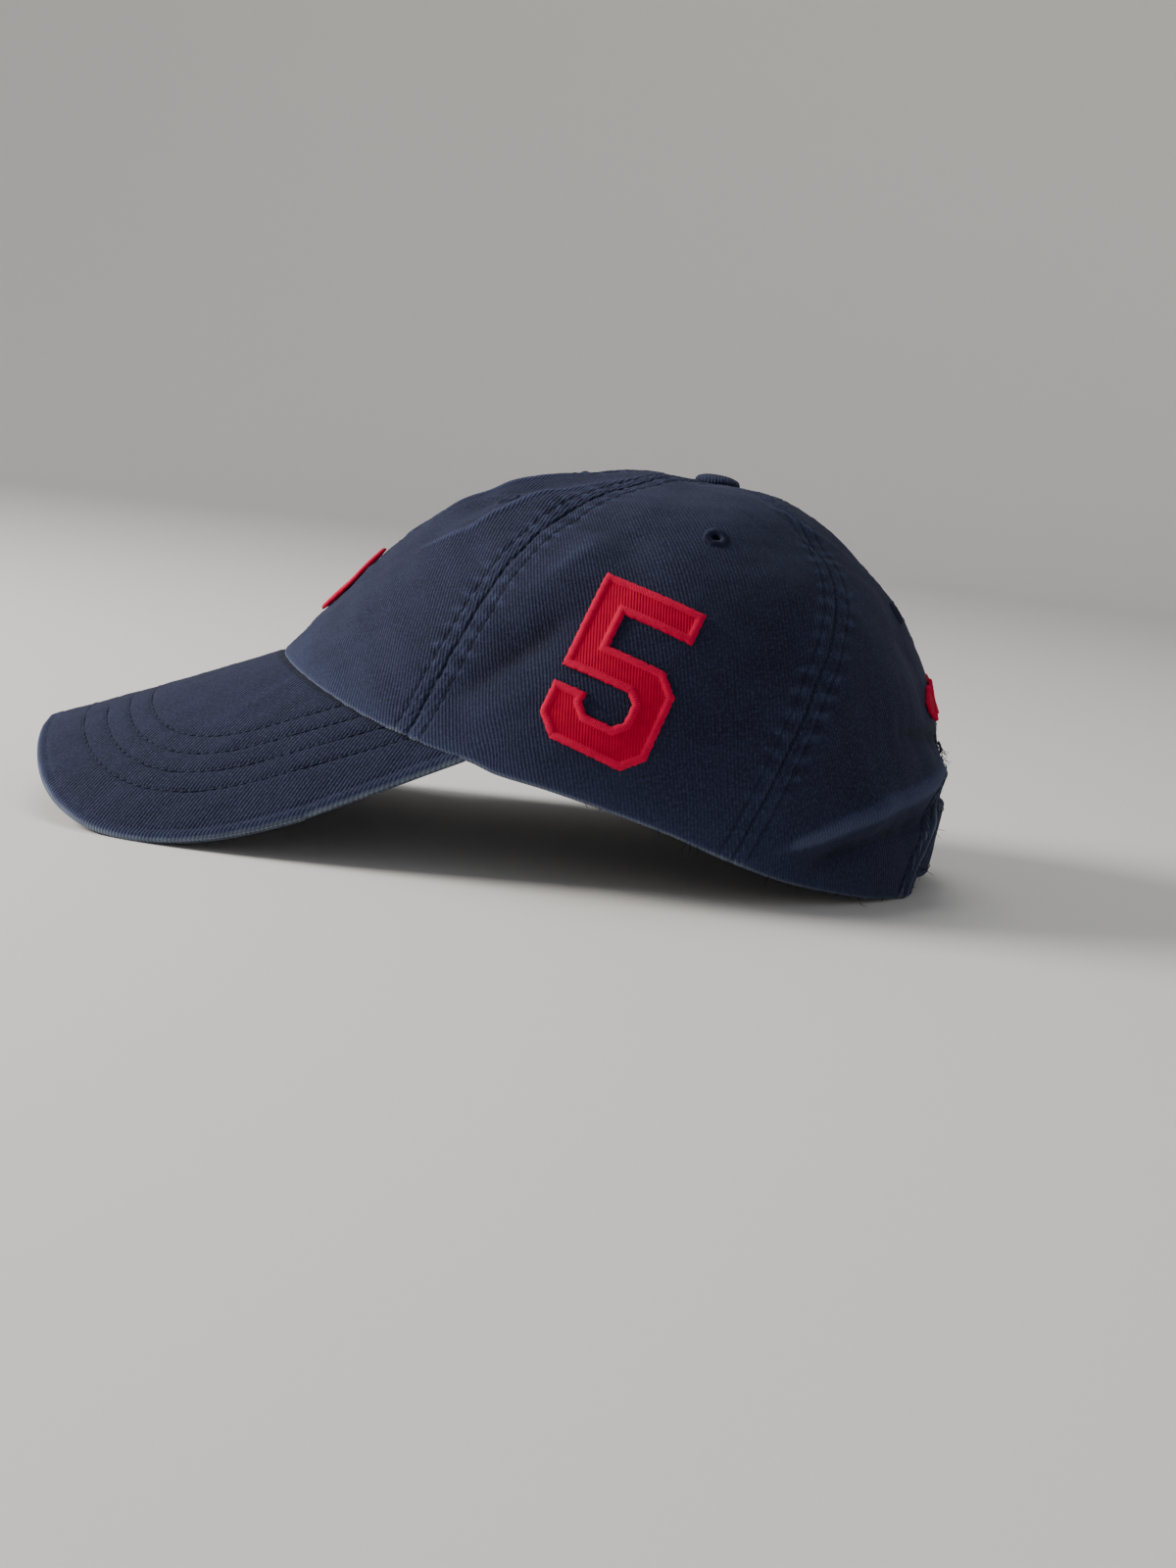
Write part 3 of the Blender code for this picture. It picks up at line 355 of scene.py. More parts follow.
def shell(name, outer, inner, uv, tints, finish, bulge=(0.0, 0.0, 0.0, 0.0), hole=None):
    """A closed cloth shell from two grids: the outer one, the inner one turned round, and an edge between
    them that bulges out by the four amounts at the first column, last column, first row and last row. A hole
    leaves out the cells whose four corners are marked, and gets a wall round it."""
    rows, columns = outer.shape[:2]
    n = rows * columns
    index = np.arange(n).reshape(rows, columns)
    quads, wall = grid_quads(index), np.empty((0, 4), dtype=int)
    if hole is not None:
        gone = hole.reshape(-1)[quads].all(axis=1)
        a, b = np.concatenate([quads[gone][:, [k, (k + 1) % 4]] for k in range(4)]).T
        once = ~np.isin(a * n + b, b * n + a)
        a, b = a[once], b[once]
        wall = np.stack([b + n, a + n, a, b], axis=-1)
        quads = quads[~gone]
    loop = np.concatenate([index[:-1, 0], index[-1, :-1], index[:0:-1, -1], index[0, :0:-1]])
    amount = np.repeat([bulge[0], bulge[3], bulge[1], bulge[2]], [rows - 1, columns - 1] * 2)
    inward = outer.copy()
    inward[:, 0], inward[:, -1] = outer[:, 1], outer[:, -2]
    inward[0], inward[-1] = inward[1], inward[-2]
    out_way = (outer - inward).reshape(-1, 3)[loop]
    out_way /= np.maximum(np.linalg.norm(out_way, axis=1, keepdims=True), 1e-9)
    top, low = outer.reshape(-1, 3)[loop], inner.reshape(-1, 3)[loop]
    middle = (top + low) / 2 + out_way * amount[:, None]
    m = len(loop)
    ring = 2 * n + np.arange(m)
    after = np.roll(np.arange(m), -1)
    strip = np.concatenate([np.stack([loop, ring, ring[after], loop[after]], axis=-1),
                            np.stack([ring, loop + n, loop[after] + n, ring[after]], axis=-1)])
    points = np.concatenate([outer.reshape(-1, 3), inner.reshape(-1, 3), middle])
    mesh = new_mesh(name, points, np.concatenate([quads, quads[:, ::-1] + n, strip, wall]).tolist())
    pick = np.concatenate([np.arange(n), np.arange(n), loop])
    paint(mesh, uv.reshape(-1, 2)[pick], {key: value.reshape(-1)[pick] for key, value in tints.items()})
    return finished(mesh, name, finish)


def new_mesh(name, points, faces):
    """A mesh of points and faces, in the shared frame."""
    mesh = bpy.data.meshes.new(name)
    mesh.from_pydata((points.reshape(-1, 3) + STAND).tolist(), [], faces)
    return mesh


def paint(mesh, uv, tints):
    """Give a mesh its cloth coordinates, in millimetres, and its values of wear and painted shading at each
    point.
    """
    corner = np.empty(len(mesh.loops), dtype=np.int64)
    mesh.loops.foreach_get("vertex_index", corner)
    layer = mesh.uv_layers.new(name="cloth")
    layer.data.foreach_set("uv", uv[corner].astype(np.float32).ravel())
    for key, value in tints.items():
        mesh.attributes.new(key, "FLOAT", "POINT").data.foreach_set("value", value.astype(np.float32))


def finished(mesh, name, finish):
    """A smooth-shaded object at the origin, with its finish, that moves with the cap's one body."""
    mesh.materials.append(finish)
    mesh.shade_smooth()
    mesh.update()
    piece = bpy.data.objects.new(name, mesh)
    bpy.context.scene.collection.objects.link(piece)
    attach(piece, "root")
    return piece


def linear(colour):
    """An sRGB hex colour as linear red, green, blue and alpha."""
    parts = [int(colour[k:k + 2], 16) / 255 for k in (1, 3, 5)]
    return (*[c / 12.92 if c <= 0.04045 else ((c + 0.055) / 1.055) ** 2.4 for c in parts], 1.0)


def feed(tree, node, feeds):
    """Give each named or numbered input of a node its value, or link it to the socket that feeds it."""
    for socket, source in feeds:
        if isinstance(source, bpy.types.NodeSocket):
            tree.links.new(source, node.inputs[socket])
        else:
            node.inputs[socket].default_value = source


def add_node(tree, kind, output, feeds=(), **settings):
    """Add a node and give one of its outputs: a setting goes to the node itself or, if it has none of that
    name, to its input, and the feeds go to the inputs."""
    node = tree.nodes.new("ShaderNode" + kind)
    for key, value in settings.items():
        if hasattr(node, key):
            setattr(node, key, value)
        else:
            node.inputs[key.replace("_", " ")].default_value = value
    feed(tree, node, feeds)
    return node.outputs[output]


def new_finish(name):
    """An empty material with its shader."""
    finish = bpy.data.materials.new(name)
    finish.use_nodes = True
    return finish, finish.node_tree, finish.node_tree.nodes["Principled BSDF"]


# Washed navy cotton twill: a 2/1 weave with diagonal ribs, piece-dyed after weaving, so that the dye has
# rubbed off on ridges and edges to a grey blue. Ditches, grooves and crease valleys are darkened to near
# black as painted shading, and the ribs' troughs and crests are painted darker and lighter. The ribs are
# drawn a little coarser than the real ones, so that they show.
RIB_PITCH, FLOAT_PITCH = 0.95, 0.62      # millimetres
WAVE = math.pi / 10                      # the scale of a band texture that repeats once a unit


def washed_twill(name, shade_colour, body, worn, frayed):
    """Colour: body, mottled and flecked, paler with wear, paler still where wear passes one, darker where
    painted shading is laid on, and scaled darker in the ribs' troughs and lighter on their crests as painted
    light and shading.
    Relief: ribs cut across by the floats of their threads."""
    finish, tree, shader = new_finish(name)
    cloth = [("Vector", add_node(tree, "UVMap", "UV", uv_map="cloth"))]
    wear = add_node(tree, "Attribute", "Fac", attribute_name="wear")
    painted_shade = add_node(tree, "Attribute", "Fac", attribute_name="painted_shade")
    ribs = add_node(tree, "TexWave", "Fac", cloth, wave_type="BANDS", bands_direction="X",
                    Scale=WAVE / RIB_PITCH, Distortion=0.7, Detail=1.0, Detail_Scale=1.6)
    floats = add_node(tree, "TexWave", "Fac", cloth, wave_type="BANDS", bands_direction="Y",
                      Scale=WAVE / FLOAT_PITCH, Distortion=2.5, Detail=1.0, Detail_Scale=1.2)
    cloudy = add_node(tree, "TexNoise", "Fac", cloth, Scale=0.07, Detail=5.0, Roughness=0.6)
    fibre = add_node(tree, "TexNoise", "Fac", cloth, Scale=1.1, Detail=2.0, Roughness=0.7)
    uneven = add_node(tree, "MapRange", "Result", [("Value", fibre)], From_Min=0.3, From_Max=0.7,
                      To_Min=0.55, To_Max=1.15)
    rubbed = add_node(tree, "Math", "Value", [(0, wear), (1, uneven)], operation="MULTIPLY", use_clamp=True)
    bare = add_node(tree, "MapRange", "Result", [("Value", wear)], From_Min=1.0, From_Max=2.0, To_Max=0.9)
    # Painted shading: the colour is pulled towards near black by the attribute that holds the painted
    # shading.
    painted_dark = add_node(tree, "Math", "Value", [(0, painted_shade), (1, 0.75)], operation="MULTIPLY", use_clamp=True)
    mottle = add_node(tree, "MapRange", "Result", [("Value", cloudy)], From_Min=0.3, From_Max=0.7,
                      To_Max=0.20)
    fleck = add_node(tree, "MapRange", "Result", [("Value", fibre)], From_Min=0.45, From_Max=0.75,
                     To_Max=0.65)
    colour = linear(body)
    for share, toward in ((mottle, worn), (fleck, worn), (rubbed, worn), (bare, frayed), (painted_dark, shade_colour)):
        colour = add_node(tree, "Mix", "Result", [("Factor", share), ("A", colour),
                                                  ("B", linear(toward))], data_type="RGBA")
    # Painted light and shading of the ribs: the colour is scaled darker in their troughs and lighter on their
    # crests.
    rib_light = add_node(tree, "MapRange", "Result", [("Value", ribs)], To_Min=0.72, To_Max=1.16)
    lit = add_node(tree, "VectorMath", "Vector", [(0, colour), ("Scale", rib_light)], operation="SCALE")
    weave = add_node(tree, "Math", "Value", [(0, floats), (1, 0.35), (2, ribs)], operation="MULTIPLY_ADD")
    weave = add_node(tree, "Math", "Value", [(0, fibre), (1, 0.5), (2, weave)], operation="MULTIPLY_ADD")
    bump = add_node(tree, "Bump", "Normal", [("Height", weave)], Strength=0.75, Distance=0.00022)
    feed(tree, shader, [("Base Color", lit), ("Normal", bump), ("Roughness", 0.88),
                        ("Specular IOR Level", 0.25), ("Sheen Weight", 0.14), ("Sheen Roughness", 0.45),
                        ("Sheen Tint", linear("#7C8CB4"))])
    return finish


navy_twill = washed_twill("washed_navy_cotton_twill", "#04060E", "#0F122A", "#353D5C", "#727D8A")
GRAIN = math.radians(-32.0)      # the ribs' lean from a panel's own middle line
BIAS = math.radians(-45.0)       # and on the visor and the strap
FRONT_VENT, SIDE_VENT, BACK_VENT = (0.465, 24.0), (0.406, 90.5), (0.455, 158.0)    # level and turn
VENT_CUT = 2.9 * MM
PANEL_ROWS, PANEL_COLUMNS = 170, 130
HEM_ROWS = (1.9, 5.9)                       # millimetres from the opening's edge to its rows of stitching
HEM_WIDTH = 7.4


def edge_spacing(count):
    """Shares from 0 to 1 that lie closer together at both ends."""
    even = np.linspace(0.0, 1.0, count + 1)
    return 0.45 * even + 0.55 * (1 - np.cos(math.pi * even)) / 2


def woven(u, v, lean):
    """Cloth coordinates whose ribs lean by an angle from the v way."""
    c, s = math.cos(lean), math.sin(lean)
    return np.stack([u * c + v * s, v * c - u * s], axis=-1)


def crown_panel(name, seam, side, hem, vent):
    """A panel as a grid between a numbered seam and the next, from the button down to its hem, over which the
    washed crown's surface is laid, with a rolled or folded hem and the cloth's thickness behind it."""
    across, down = np.meshgrid(edge_spacing(PANEL_COLUMNS), edge_spacing(PANEL_ROWS))
    hem_share, hem_level = hem(across)
    share = across + (hem_share - across) * down
    level = PANEL_TOP + (hem_level - PANEL_TOP) * down
    first, second = seam_turns(level)[seam:seam + 2]
    width = np.linalg.norm(crown_plain(level, first) - crown_plain(level, second), axis=-1)
    inset = -0.15 * MM / width
    turn = side * (first + (second - first) * (inset + share * (1 - 2 * inset)))
    points, normal, wear, painted_shade = crown_cloth(level, turn)
    plain = crown_plain(level, turn)
    to_hem = near_line(plain, plain[-1]) / MM
    fold = -0.55 * np.clip(1 - to_hem / 1.2, 0, 1) ** 2
    wear += 1.05 * bell(to_hem, 0.9) + 0.30 * bell(to_hem, 4.5) + 0.28 * bell(to_hem, 20.0)
    # Less painted shading right at the hem's edge.
    painted_shade *= 1 - 0.8 * bell(to_hem, 1.5)
    if hem is opening_hem:
        arch = near_line(plain, plain[-1][level[-1] < 0.999]) / MM
        band = blend((HEM_WIDTH - arch) / 0.9)
        fold += 0.75 * band
        for row in HEM_ROWS:
            fold -= 0.34 * bell(arch - row, 0.5) * band
        fold += 0.16 * ripple(arch * MM * 0.2, turn * MM, 5.5 * MM, 77) * band
        wear += 1.3 * bell(arch - 3.1, 0.8) + 1.2 * bell(arch - 7.0, 0.6)
        # Painted shading in the grooves of the opening hem's two rows and along the upper edge of its fold.
        for painted_shade_row, spread, depth in ((1.9, 0.45, 0.9), (5.7, 0.45, 0.9), (8.0, 0.6, 0.8)):
            painted_shade += depth * bell(arch - painted_shade_row, spread)
    points = points + normal * (fold * MM)[..., None]
    inner = plain + normal * (fold_sum(plain, FOLDS) * fold_room(level) - CLOTH)[..., None]
    u = (turn - side * (first + second) / 2) * degree_length(level, turn)
    uv = woven(u / MM, level * SEAM_LENGTH / MM, GRAIN)
    hole = np.linalg.norm(plain - crown_plain(vent[0], side * vent[1]), axis=-1) < VENT_CUT
    points, inner, uv, wear, painted_shade, hole = (a[:, ::side] for a in (points, inner, uv, wear, painted_shade, hole))
    tints = {"wear": np.clip(wear, 0, 2.0), "painted_shade": np.clip(painted_shade, 0, 1)}
    piece = shell(name + "_cloth", points, inner, uv, tints, navy_twill, bulge=(0.0, 0.0, 0.0, 0.35 * MM),
                  hole=hole)
    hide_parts(name)


for side, word in ((1, "left"), (-1, "right")):
    crown_panel(f"front_panel_{word}", 0, side, plain_hem, FRONT_VENT)
    crown_panel(f"side_panel_{word}", 1, side, plain_hem, SIDE_VENT)
    crown_panel(f"back_panel_{word}", 2, side, opening_hem, BACK_VENT)


# The topstitching of the crown: navy polyester-cotton thread, 3 mm stitches in a row on each side of every
# seam and two rows round the back opening, sunk in the grooves that their own pull has made.
def tubes(name, rings, finish):
    """Closed tubes of one make, given by the points of their rings, which go round against the tube's way."""
    index = np.arange(rings.size // 3).reshape(rings.shape[:3])
    a, b = index[:, :-1], index[:, 1:]
    sides = np.stack([a, b, np.roll(b, -1, axis=2), np.roll(a, -1, axis=2)], axis=-1).reshape(-1, 4)
    ends = np.concatenate([index[:, 0], index[:, -1, ::-1]])
    return finished(new_mesh(name, rings, sides.tolist() + ends.tolist()), name, finish)


def stitches(name, paths, length, gap, thick, lift, finish):
    """Stitches along paths of points and outward directions: each is a spindle of five rings of six points,
    whose radius and height follow half a sine and whose ends dip into the cloth."""
    parts = []
    for points, normals in paths:
        steps = np.concatenate([[0.0], np.cumsum(np.linalg.norm(np.diff(points, axis=0), axis=1))])
        count = int((steps[-1] - gap) // (length + gap))
        u = np.linspace(0.0, 1.0, 5)
        s = gap + np.arange(count)[:, None] * (length + gap) + u * length
        at, out = (np.stack([np.interp(s, steps, column) for column in rows.T], axis=-1)
                   for rows in (points, normals))
        parts.append((at, out, np.gradient(at, axis=1), np.broadcast_to(u, s.shape)))
    at, out, way, u = (np.concatenate(part) for part in zip(*parts))
    out /= np.linalg.norm(out, axis=-1, keepdims=True)
    way /= np.linalg.norm(way, axis=-1, keepdims=True)
    across = np.cross(way, out)
    arch = np.sin(math.pi * (0.06 + 0.88 * u))
    centre = at + out * (lift * arch - 0.5 * lift)[..., None]
    phi = np.arange(6) * math.pi / 3
    radius = (thick / 2 * arch**0.5)[..., None, None]
    spokes = across[:, :, None] * np.cos(phi)[:, None] + out[:, :, None] * np.sin(phi)[:, None]
    return tubes(name, centre[:, :, None] + radius * spokes, finish)


def thread(name, colour, pale):
    """Twisted sewing thread: slightly shiny, with fine fibres that lighten it unevenly."""
    finish, tree, shader = new_finish(name)
    place = add_node(tree, "TexCoord", "Object")
    fibre = add_node(tree, "TexNoise", "Fac", [("Vector", place)], Scale=900.0, Detail=2.0)
    mixed = add_node(tree, "Mix", "Result", [("Factor", fibre), ("A", linear(colour)),
                                             ("B", linear(pale))], data_type="RGBA")
    bump = add_node(tree, "Bump", "Normal", [("Height", fibre)], Strength=0.5, Distance=0.0001)
    feed(tree, shader, [("Base Color", mixed), ("Normal", bump), ("Roughness", 0.7),
                        ("Specular IOR Level", 0.25)])
    return finish


navy_thread = thread("navy_sewing_thread", "#0C1228", "#1A2244")


def surface_path(level, turn, lift=0.0):
    """Points and normals on the washed crown along a line of levels and turns."""
    points, normals, _, _ = crown_cloth(level, turn)
    return points + normals * lift, normals


SEAM_STITCHES = (0.075, 0.995)      # levels at which the rows beside a seam start and end
ABOVE_OPENING = 1.0 - (OPENING_HEIGHT + 6 * MM) / BACK_LENGTH

seam_paths = []
for side in (1, -1):
    for k, offsets in enumerate(((SEAM_ROW,), (-SEAM_ROW, SEAM_ROW), (-SEAM_ROW, SEAM_ROW), (-SEAM_ROW,))):
        level = np.linspace(SEAM_STITCHES[0], ABOVE_OPENING if k == 3 else SEAM_STITCHES[1], 160)
        turn = seam_turns(level)[k]
        for offset in offsets:
            seam_paths.append(surface_path(level, side * (turn + offset / degree_length(level, turn))))
psi = np.linspace(0.0, math.pi / 2, 120)
turns, lengths = hem_turns()
for side in (1, -1):
    for row in HEM_ROWS:
        turn = np.interp((OPENING_HALF_WIDTH + row * MM) * np.cos(psi), lengths, turns)
        level = 1.0 - (OPENING_HEIGHT + row * MM) / BACK_LENGTH * np.sin(psi)
        seam_paths.append(surface_path(np.minimum(level, 0.99), side * turn, lift=0.25 * MM))
topstitch = stitches("crown_topstitching", seam_paths, 2.7 * MM, 0.45 * MM, 0.38 * MM, 0.26 * MM, navy_thread)


# The eyelets: buttonhole stitch in navy thread, laid as some forty spokes over a cut edge, which makes a
# raised ring round each vent hole.
EYELET_RADIUS, EYELET_HOLE, EYELET_SPOKES = 3.8 * MM, 1.2 * MM, 40


def lay_on_crown(flat, level, turn, lean):
    """Level and turn of each point of a flat shape (x right, y up) laid on the crown, by Newton's method."""
    origin, out = crown_plain(level, turn), crown_normal(level, turn)
    up = crown_plain(level - 0.01, turn) - crown_plain(level + 0.01, turn)
    up = up - out * (up @ out)
    up = up / np.linalg.norm(up)
    right, lean = np.cross(up, out), math.radians(lean)
    right, up = right * math.cos(lean) - up * math.sin(lean), up * math.cos(lean) + right * math.sin(lean)
    place = np.tile([level, turn], (len(flat), 1)).astype(float)
    for _ in range(14):
        here = crown_plain(place[:, 0], place[:, 1]) - origin
        error = np.stack([here @ right, here @ up], axis=-1) - flat
        by_level = (crown_plain(place[:, 0] + 0.002, place[:, 1]) - origin - here) / 0.002
        by_turn = (crown_plain(place[:, 0], place[:, 1] + 0.4) - origin - here) / 0.4
        a, b, c, d = by_level @ right, by_turn @ right, by_level @ up, by_turn @ up
        fall = np.stack([d * error[:, 0] - b * error[:, 1], a * error[:, 1] - c * error[:, 0]], axis=-1)
        place -= np.clip(fall / (a * d - b * c)[:, None], (-0.05, -8.0), (0.05, 8.0))
    return place[:, 0], place[:, 1]


def soft_crown(level, turn):
    """The crown with its folds alone, which sewn-on pieces follow, and its normals."""
    plain, normal = crown_plain(level, turn), crown_normal(level, turn)
    folds = fold_sum(plain, FOLDS) + fold_sum(plain, CREASES) * BACKED_CREASE_SHARE
    return plain + normal * (folds * fold_room(level))[..., None], normal


def turned_out(mesh, merge=0.0):
    """Merge the points of a closed mesh that are nearer than a distance, and turn its faces outwards."""
    work = bmesh.new()
    work.from_mesh(mesh)
    if merge:
        bmesh.ops.remove_doubles(work, verts=work.verts, dist=merge)
    bmesh.ops.recalc_face_normals(work, faces=work.faces)
    work.to_mesh(mesh)
    work.free()
    return mesh


def eyelet(name, level, turn):
    """A ring whose section is a flattened round that holds the cloth's edge, ribbed by a sine with one crest
    for each spoke of thread."""
    phi, psi = np.meshgrid(np.linspace(0, 2 * math.pi, EYELET_SPOKES * 5, endpoint=False),
                           np.linspace(0, 2 * math.pi, 20, endpoint=False), indexing="ij")
    spoke = np.cos(phi * EYELET_SPOKES + 0.8 * np.sin(phi * 5))
    uneven = 1 + 0.05 * np.sin(phi * 3 + turn) + 0.035 * np.sin(phi * 7 + level * 50)
    middle, half = (EYELET_RADIUS + EYELET_HOLE) / 2, (EYELET_RADIUS - EYELET_HOLE) / 2
    radius = (middle + half * np.cos(psi)) * uneven + 0.10 * MM * spoke * (np.cos(psi) > 0)
    height = (1.15 * np.sin(psi) * (1 + 0.07 * spoke) - 0.40) * MM
    flat = np.stack([radius * np.cos(phi), radius * np.sin(phi)], axis=-1).reshape(-1, 2)
    base, normal = soft_crown(*lay_on_crown(flat, level, turn, 0.0))
    index = np.pad(np.arange(phi.size).reshape(phi.shape), ((0, 1), (0, 1)), mode="wrap")
    mesh = new_mesh(name, base + normal * height.reshape(-1, 1), grid_quads(index).tolist())
    return finished(turned_out(mesh), name + "_sewn", navy_thread)


for name, (level, turn) in (("front", FRONT_VENT), ("side", SIDE_VENT), ("back", BACK_VENT)):
    for side, word in ((1, "left"), (-1, "right")):
        ring = eyelet(f"{name}_eyelet_{word}", level, side * turn)
        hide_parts(f"{name}_eyelet_{word}")


# The button: a tin disc under a circle of the same twill, drawn tight over its edge and riveted through the
# point where the six panels meet.
BUTTON_RADIUS, BUTTON_RISE = 6.8 * MM, 3.3 * MM
BUTTON_LEVEL = BUTTON_RADIUS / 0.1435
BUTTON_GATHERS = 17
round_turns = np.arange(24) * 15.0
ring = crown_plain(np.full(24, BUTTON_LEVEL), round_turns)
centre = ring.mean(axis=0)
up = np.linalg.svd(ring - centre)[2][2]
up = up * np.sign(up[2])
side_way = np.cross((0.0, 1.0, 0.0), up)
side_way /= np.linalg.norm(side_way)
front_way = np.cross(up, side_way)
phi, u = np.meshgrid(np.linspace(0, 2 * math.pi, 96, endpoint=False), np.linspace(0.0, 1.0, 30),
                     indexing="ij")
radius = BUTTON_RADIUS * np.sin(np.clip(u * 1.75, 0, 1.6)) ** 0.9 * np.where(u < 0.9, 1.0, 0.97)
radius = np.where(u >= 0.999, 0.0, radius)
gather = 0.10 * MM * np.cos(phi * BUTTON_GATHERS) * np.sin(np.clip((u - 0.45) / 0.5, 0, 1) * math.pi)
height = BUTTON_RISE * np.cos(np.clip(u * 1.62, 0, 1.57)) ** 0.75 + gather
under = crown_plain(np.repeat(np.linspace(PANEL_TOP, BUTTON_LEVEL, 4), 24), np.tile(round_turns, 4))
seat = ((under - centre) @ up).max() - 0.8 * MM
x, y = radius * np.cos(phi), radius * np.sin(phi)
points = centre + up * (seat + height)[..., None] + (side_way * x[..., None] + front_way * y[..., None])
index = np.pad(np.arange(phi.size).reshape(phi.shape), ((0, 1), (0, 0)), mode="wrap")
mesh = new_mesh("top_button", points, grid_quads(index).tolist())
# Painted shading round the button's lower edge, where it meets the crown.
paint(mesh, np.stack([x / MM, y / MM], axis=-1).reshape(-1, 2),
      {"wear": (0.35 * bell(u - 0.62, 0.16)).ravel(), "painted_shade": (0.8 * blend((u - 0.8) / 0.2)).ravel()})
button = finished(turned_out(mesh, merge=1e-7), "top_button_covered", navy_twill)
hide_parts("top_button")


# The visor: a curved board between two covers of the same twill, which meet in a rolled edge and are quilted
# to the board by four rows of stitching that follow the edge. The edge has rubbed pale.
VISOR_HALF_WIDTH = 89.5 * MM
VISOR_THICK = 3.3 * MM
JOINT_TUCK = 1.3 * MM            # of the covers, under the crown's edge
VISOR_ROWS = np.array([(74.0, 60.0), (67.5, 53.3), (61.0, 46.6), (54.5, 39.9)]) * MM     # half width, length
ROW_POWERS, EDGE_POWERS = (3.4, 2.8), (4.2, 2.45)      # of the superellipses, across and along
TIP_LENGTH = 2.6 * MM            # of the cloth edge in front of the solid's
ROW_DEPTH = 0.36 * MM            # of the quilting's stitches in the cloth


def visor_face(across, reach):
    """Upward normal of the visor's sheet."""
    step = 0.1 * MM
    by_across = visor_sheet(across + step, reach) - visor_sheet(across - step, reach)
    by_reach = visor_sheet(across, reach + step) - visor_sheet(across, reach - step)
    face = np.cross(by_reach, by_across)
    return face / np.linalg.norm(face, axis=-1, keepdims=True)


def visor_joint(share):
    """Across and reach of the joint under the crown's front edge."""
    x, y = rim_plan(share * VISOR_CORNER)
    before, after = rim_plan(share * VISOR_CORNER - 0.5), rim_plan(share * VISOR_CORNER + 0.5)
    along = np.stack([after[0] - before[0], after[1] - before[1]])
    along = along / np.linalg.norm(along, axis=0)
    return visor_flat(x - along[1] * JOINT_TUCK, y + along[0] * JOINT_TUCK)


def superellipse(half, length, powers, psi):
    """The front of a superellipse: each half axis times the sine or cosine to two over its own power."""
    across = half * np.sign(psi) * np.abs(np.sin(psi)) ** (2 / powers[0])
    return across, length * np.abs(np.cos(psi)) ** (2 / powers[1])


def row_line(half, length, count=240):
    """A quilting row: a superellipse in front whose sides run straight back to the joint."""
    across, reach = superellipse(half, length, ROW_POWERS, np.linspace(-math.pi / 2, math.pi / 2, count))
    joint_across, joint_reach = visor_joint(np.linspace(0, 1, 200))
    end = np.interp(half, joint_across, joint_reach)
    back = np.linspace(end + 0.5 * MM, 0.0, 60, endpoint=False)
    return (np.concatenate([np.full(60, -half), across, np.full(60, half)]),
            np.concatenate([back, reach, back[::-1]]))


def flat_distance(across, reach, line_across, line_reach):
    """Distance in the flat sheet from each point to a line's nearest point."""
    found = np.full(across.shape, 1.0)
    for a, r in zip(np.array_split(line_across, 12), np.array_split(line_reach, 12)):
        found = np.minimum(found, np.hypot(across[..., None] - a, reach[..., None] - r).min(axis=-1))
    return found


FLOOR_GAP = 0.05 * MM         # the cloth comes no nearer to the floor
share, out = np.meshgrid(2 * edge_spacing(230) - 1, edge_spacing(130))
inner_across, inner_reach = visor_joint(share)
outer_across, outer_reach = superellipse(VISOR_HALF_WIDTH, VISOR_LENGTH + TIP_LENGTH, EDGE_POWERS,
                                         share * math.pi / 2)
across = inner_across + (outer_across - inner_across) * out
reach = inner_reach + (outer_reach - inner_reach) * out
edge = [np.concatenate([a[::-1, 0], a[-1], a[:, -1]]) for a in (across, reach)]
to_edge = flat_distance(across, reach, *edge) / MM
rows = np.min([flat_distance(across, reach, *row_line(*row)) for row in VISOR_ROWS], axis=0) / MM
joint_gap = np.hypot(across - inner_across, reach - inner_reach) / MM
roll = VISOR_THICK / 2 * (1 - np.sqrt(np.clip(1 - (1 - np.clip(to_edge / 1.7, 0, 1)) ** 2.0, 0, 1)))
sheet, face = visor_sheet(across, reach), visor_face(across, reach)
cloth_wave = 0.10 * ripple(across, reach, 11 * MM, 91) + 0.05 * ripple(across, reach, 4 * MM, 92)
relief = -0.34 * bell(rows, 0.55) - 0.12 * bell(rows, 2.0) + cloth_wave * blend(to_edge / 4)
relief -= 0.35 * bell(joint_gap - 1.9, 0.9)
relief += 0.14 * bell(to_edge - 1.9, 0.8) - 0.18 * bell(to_edge - 3.4, 0.6)
wear = 1.50 * bell(to_edge, 1.25)
wear += 0.34 * bell(to_edge, 5.0) * (0.7 + 0.3 * ripple(across, reach, 9 * MM, 93))
# Painted shading: a dark line in the joint under the crown's edge and along the quilting rows.
painted_shade = 0.95 * bell(np.maximum(joint_gap - 1.6, 0), 1.0) + 0.80 * bell(rows, 0.45)
for name, sign, first in (("visor_top", 1, 0.0), ("visor_under", -1, -VISOR_THICK)):
    surface = sheet + face * (first + sign * (-roll + relief * MM))[..., None]
    middle = sheet + face * (-VISOR_THICK / 2 + sign * 0.04 * MM)
    for grid in (surface, middle):
        grid[..., 2] = np.maximum(grid[..., 2], FLOOR_GAP - STAND[2])
    tints = {"wear": np.clip(wear, 0, 2.0)[:, ::sign], "painted_shade": np.clip(painted_shade, 0, 1)[:, ::sign]}
    uv = woven(across / MM, reach / MM, BIAS)
    cover = shell(name + "_cloth", surface[:, ::sign], middle[:, ::sign], uv[:, ::sign], tints, navy_twill)
    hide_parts(name)

row_paths = []
for half, length in VISOR_ROWS:
    line = row_line(half, length, 400)
    up_way, row_sheet = visor_face(*line), visor_sheet(*line)
    row_paths.append((row_sheet - up_way * ROW_DEPTH, up_way))
    row_paths.append((row_sheet - up_way * (VISOR_THICK - ROW_DEPTH), -up_way))
quilting = stitches("visor_quilting", row_paths, 2.6 * MM, 0.25 * MM, 0.56 * MM, 0.26 * MM, navy_thread)


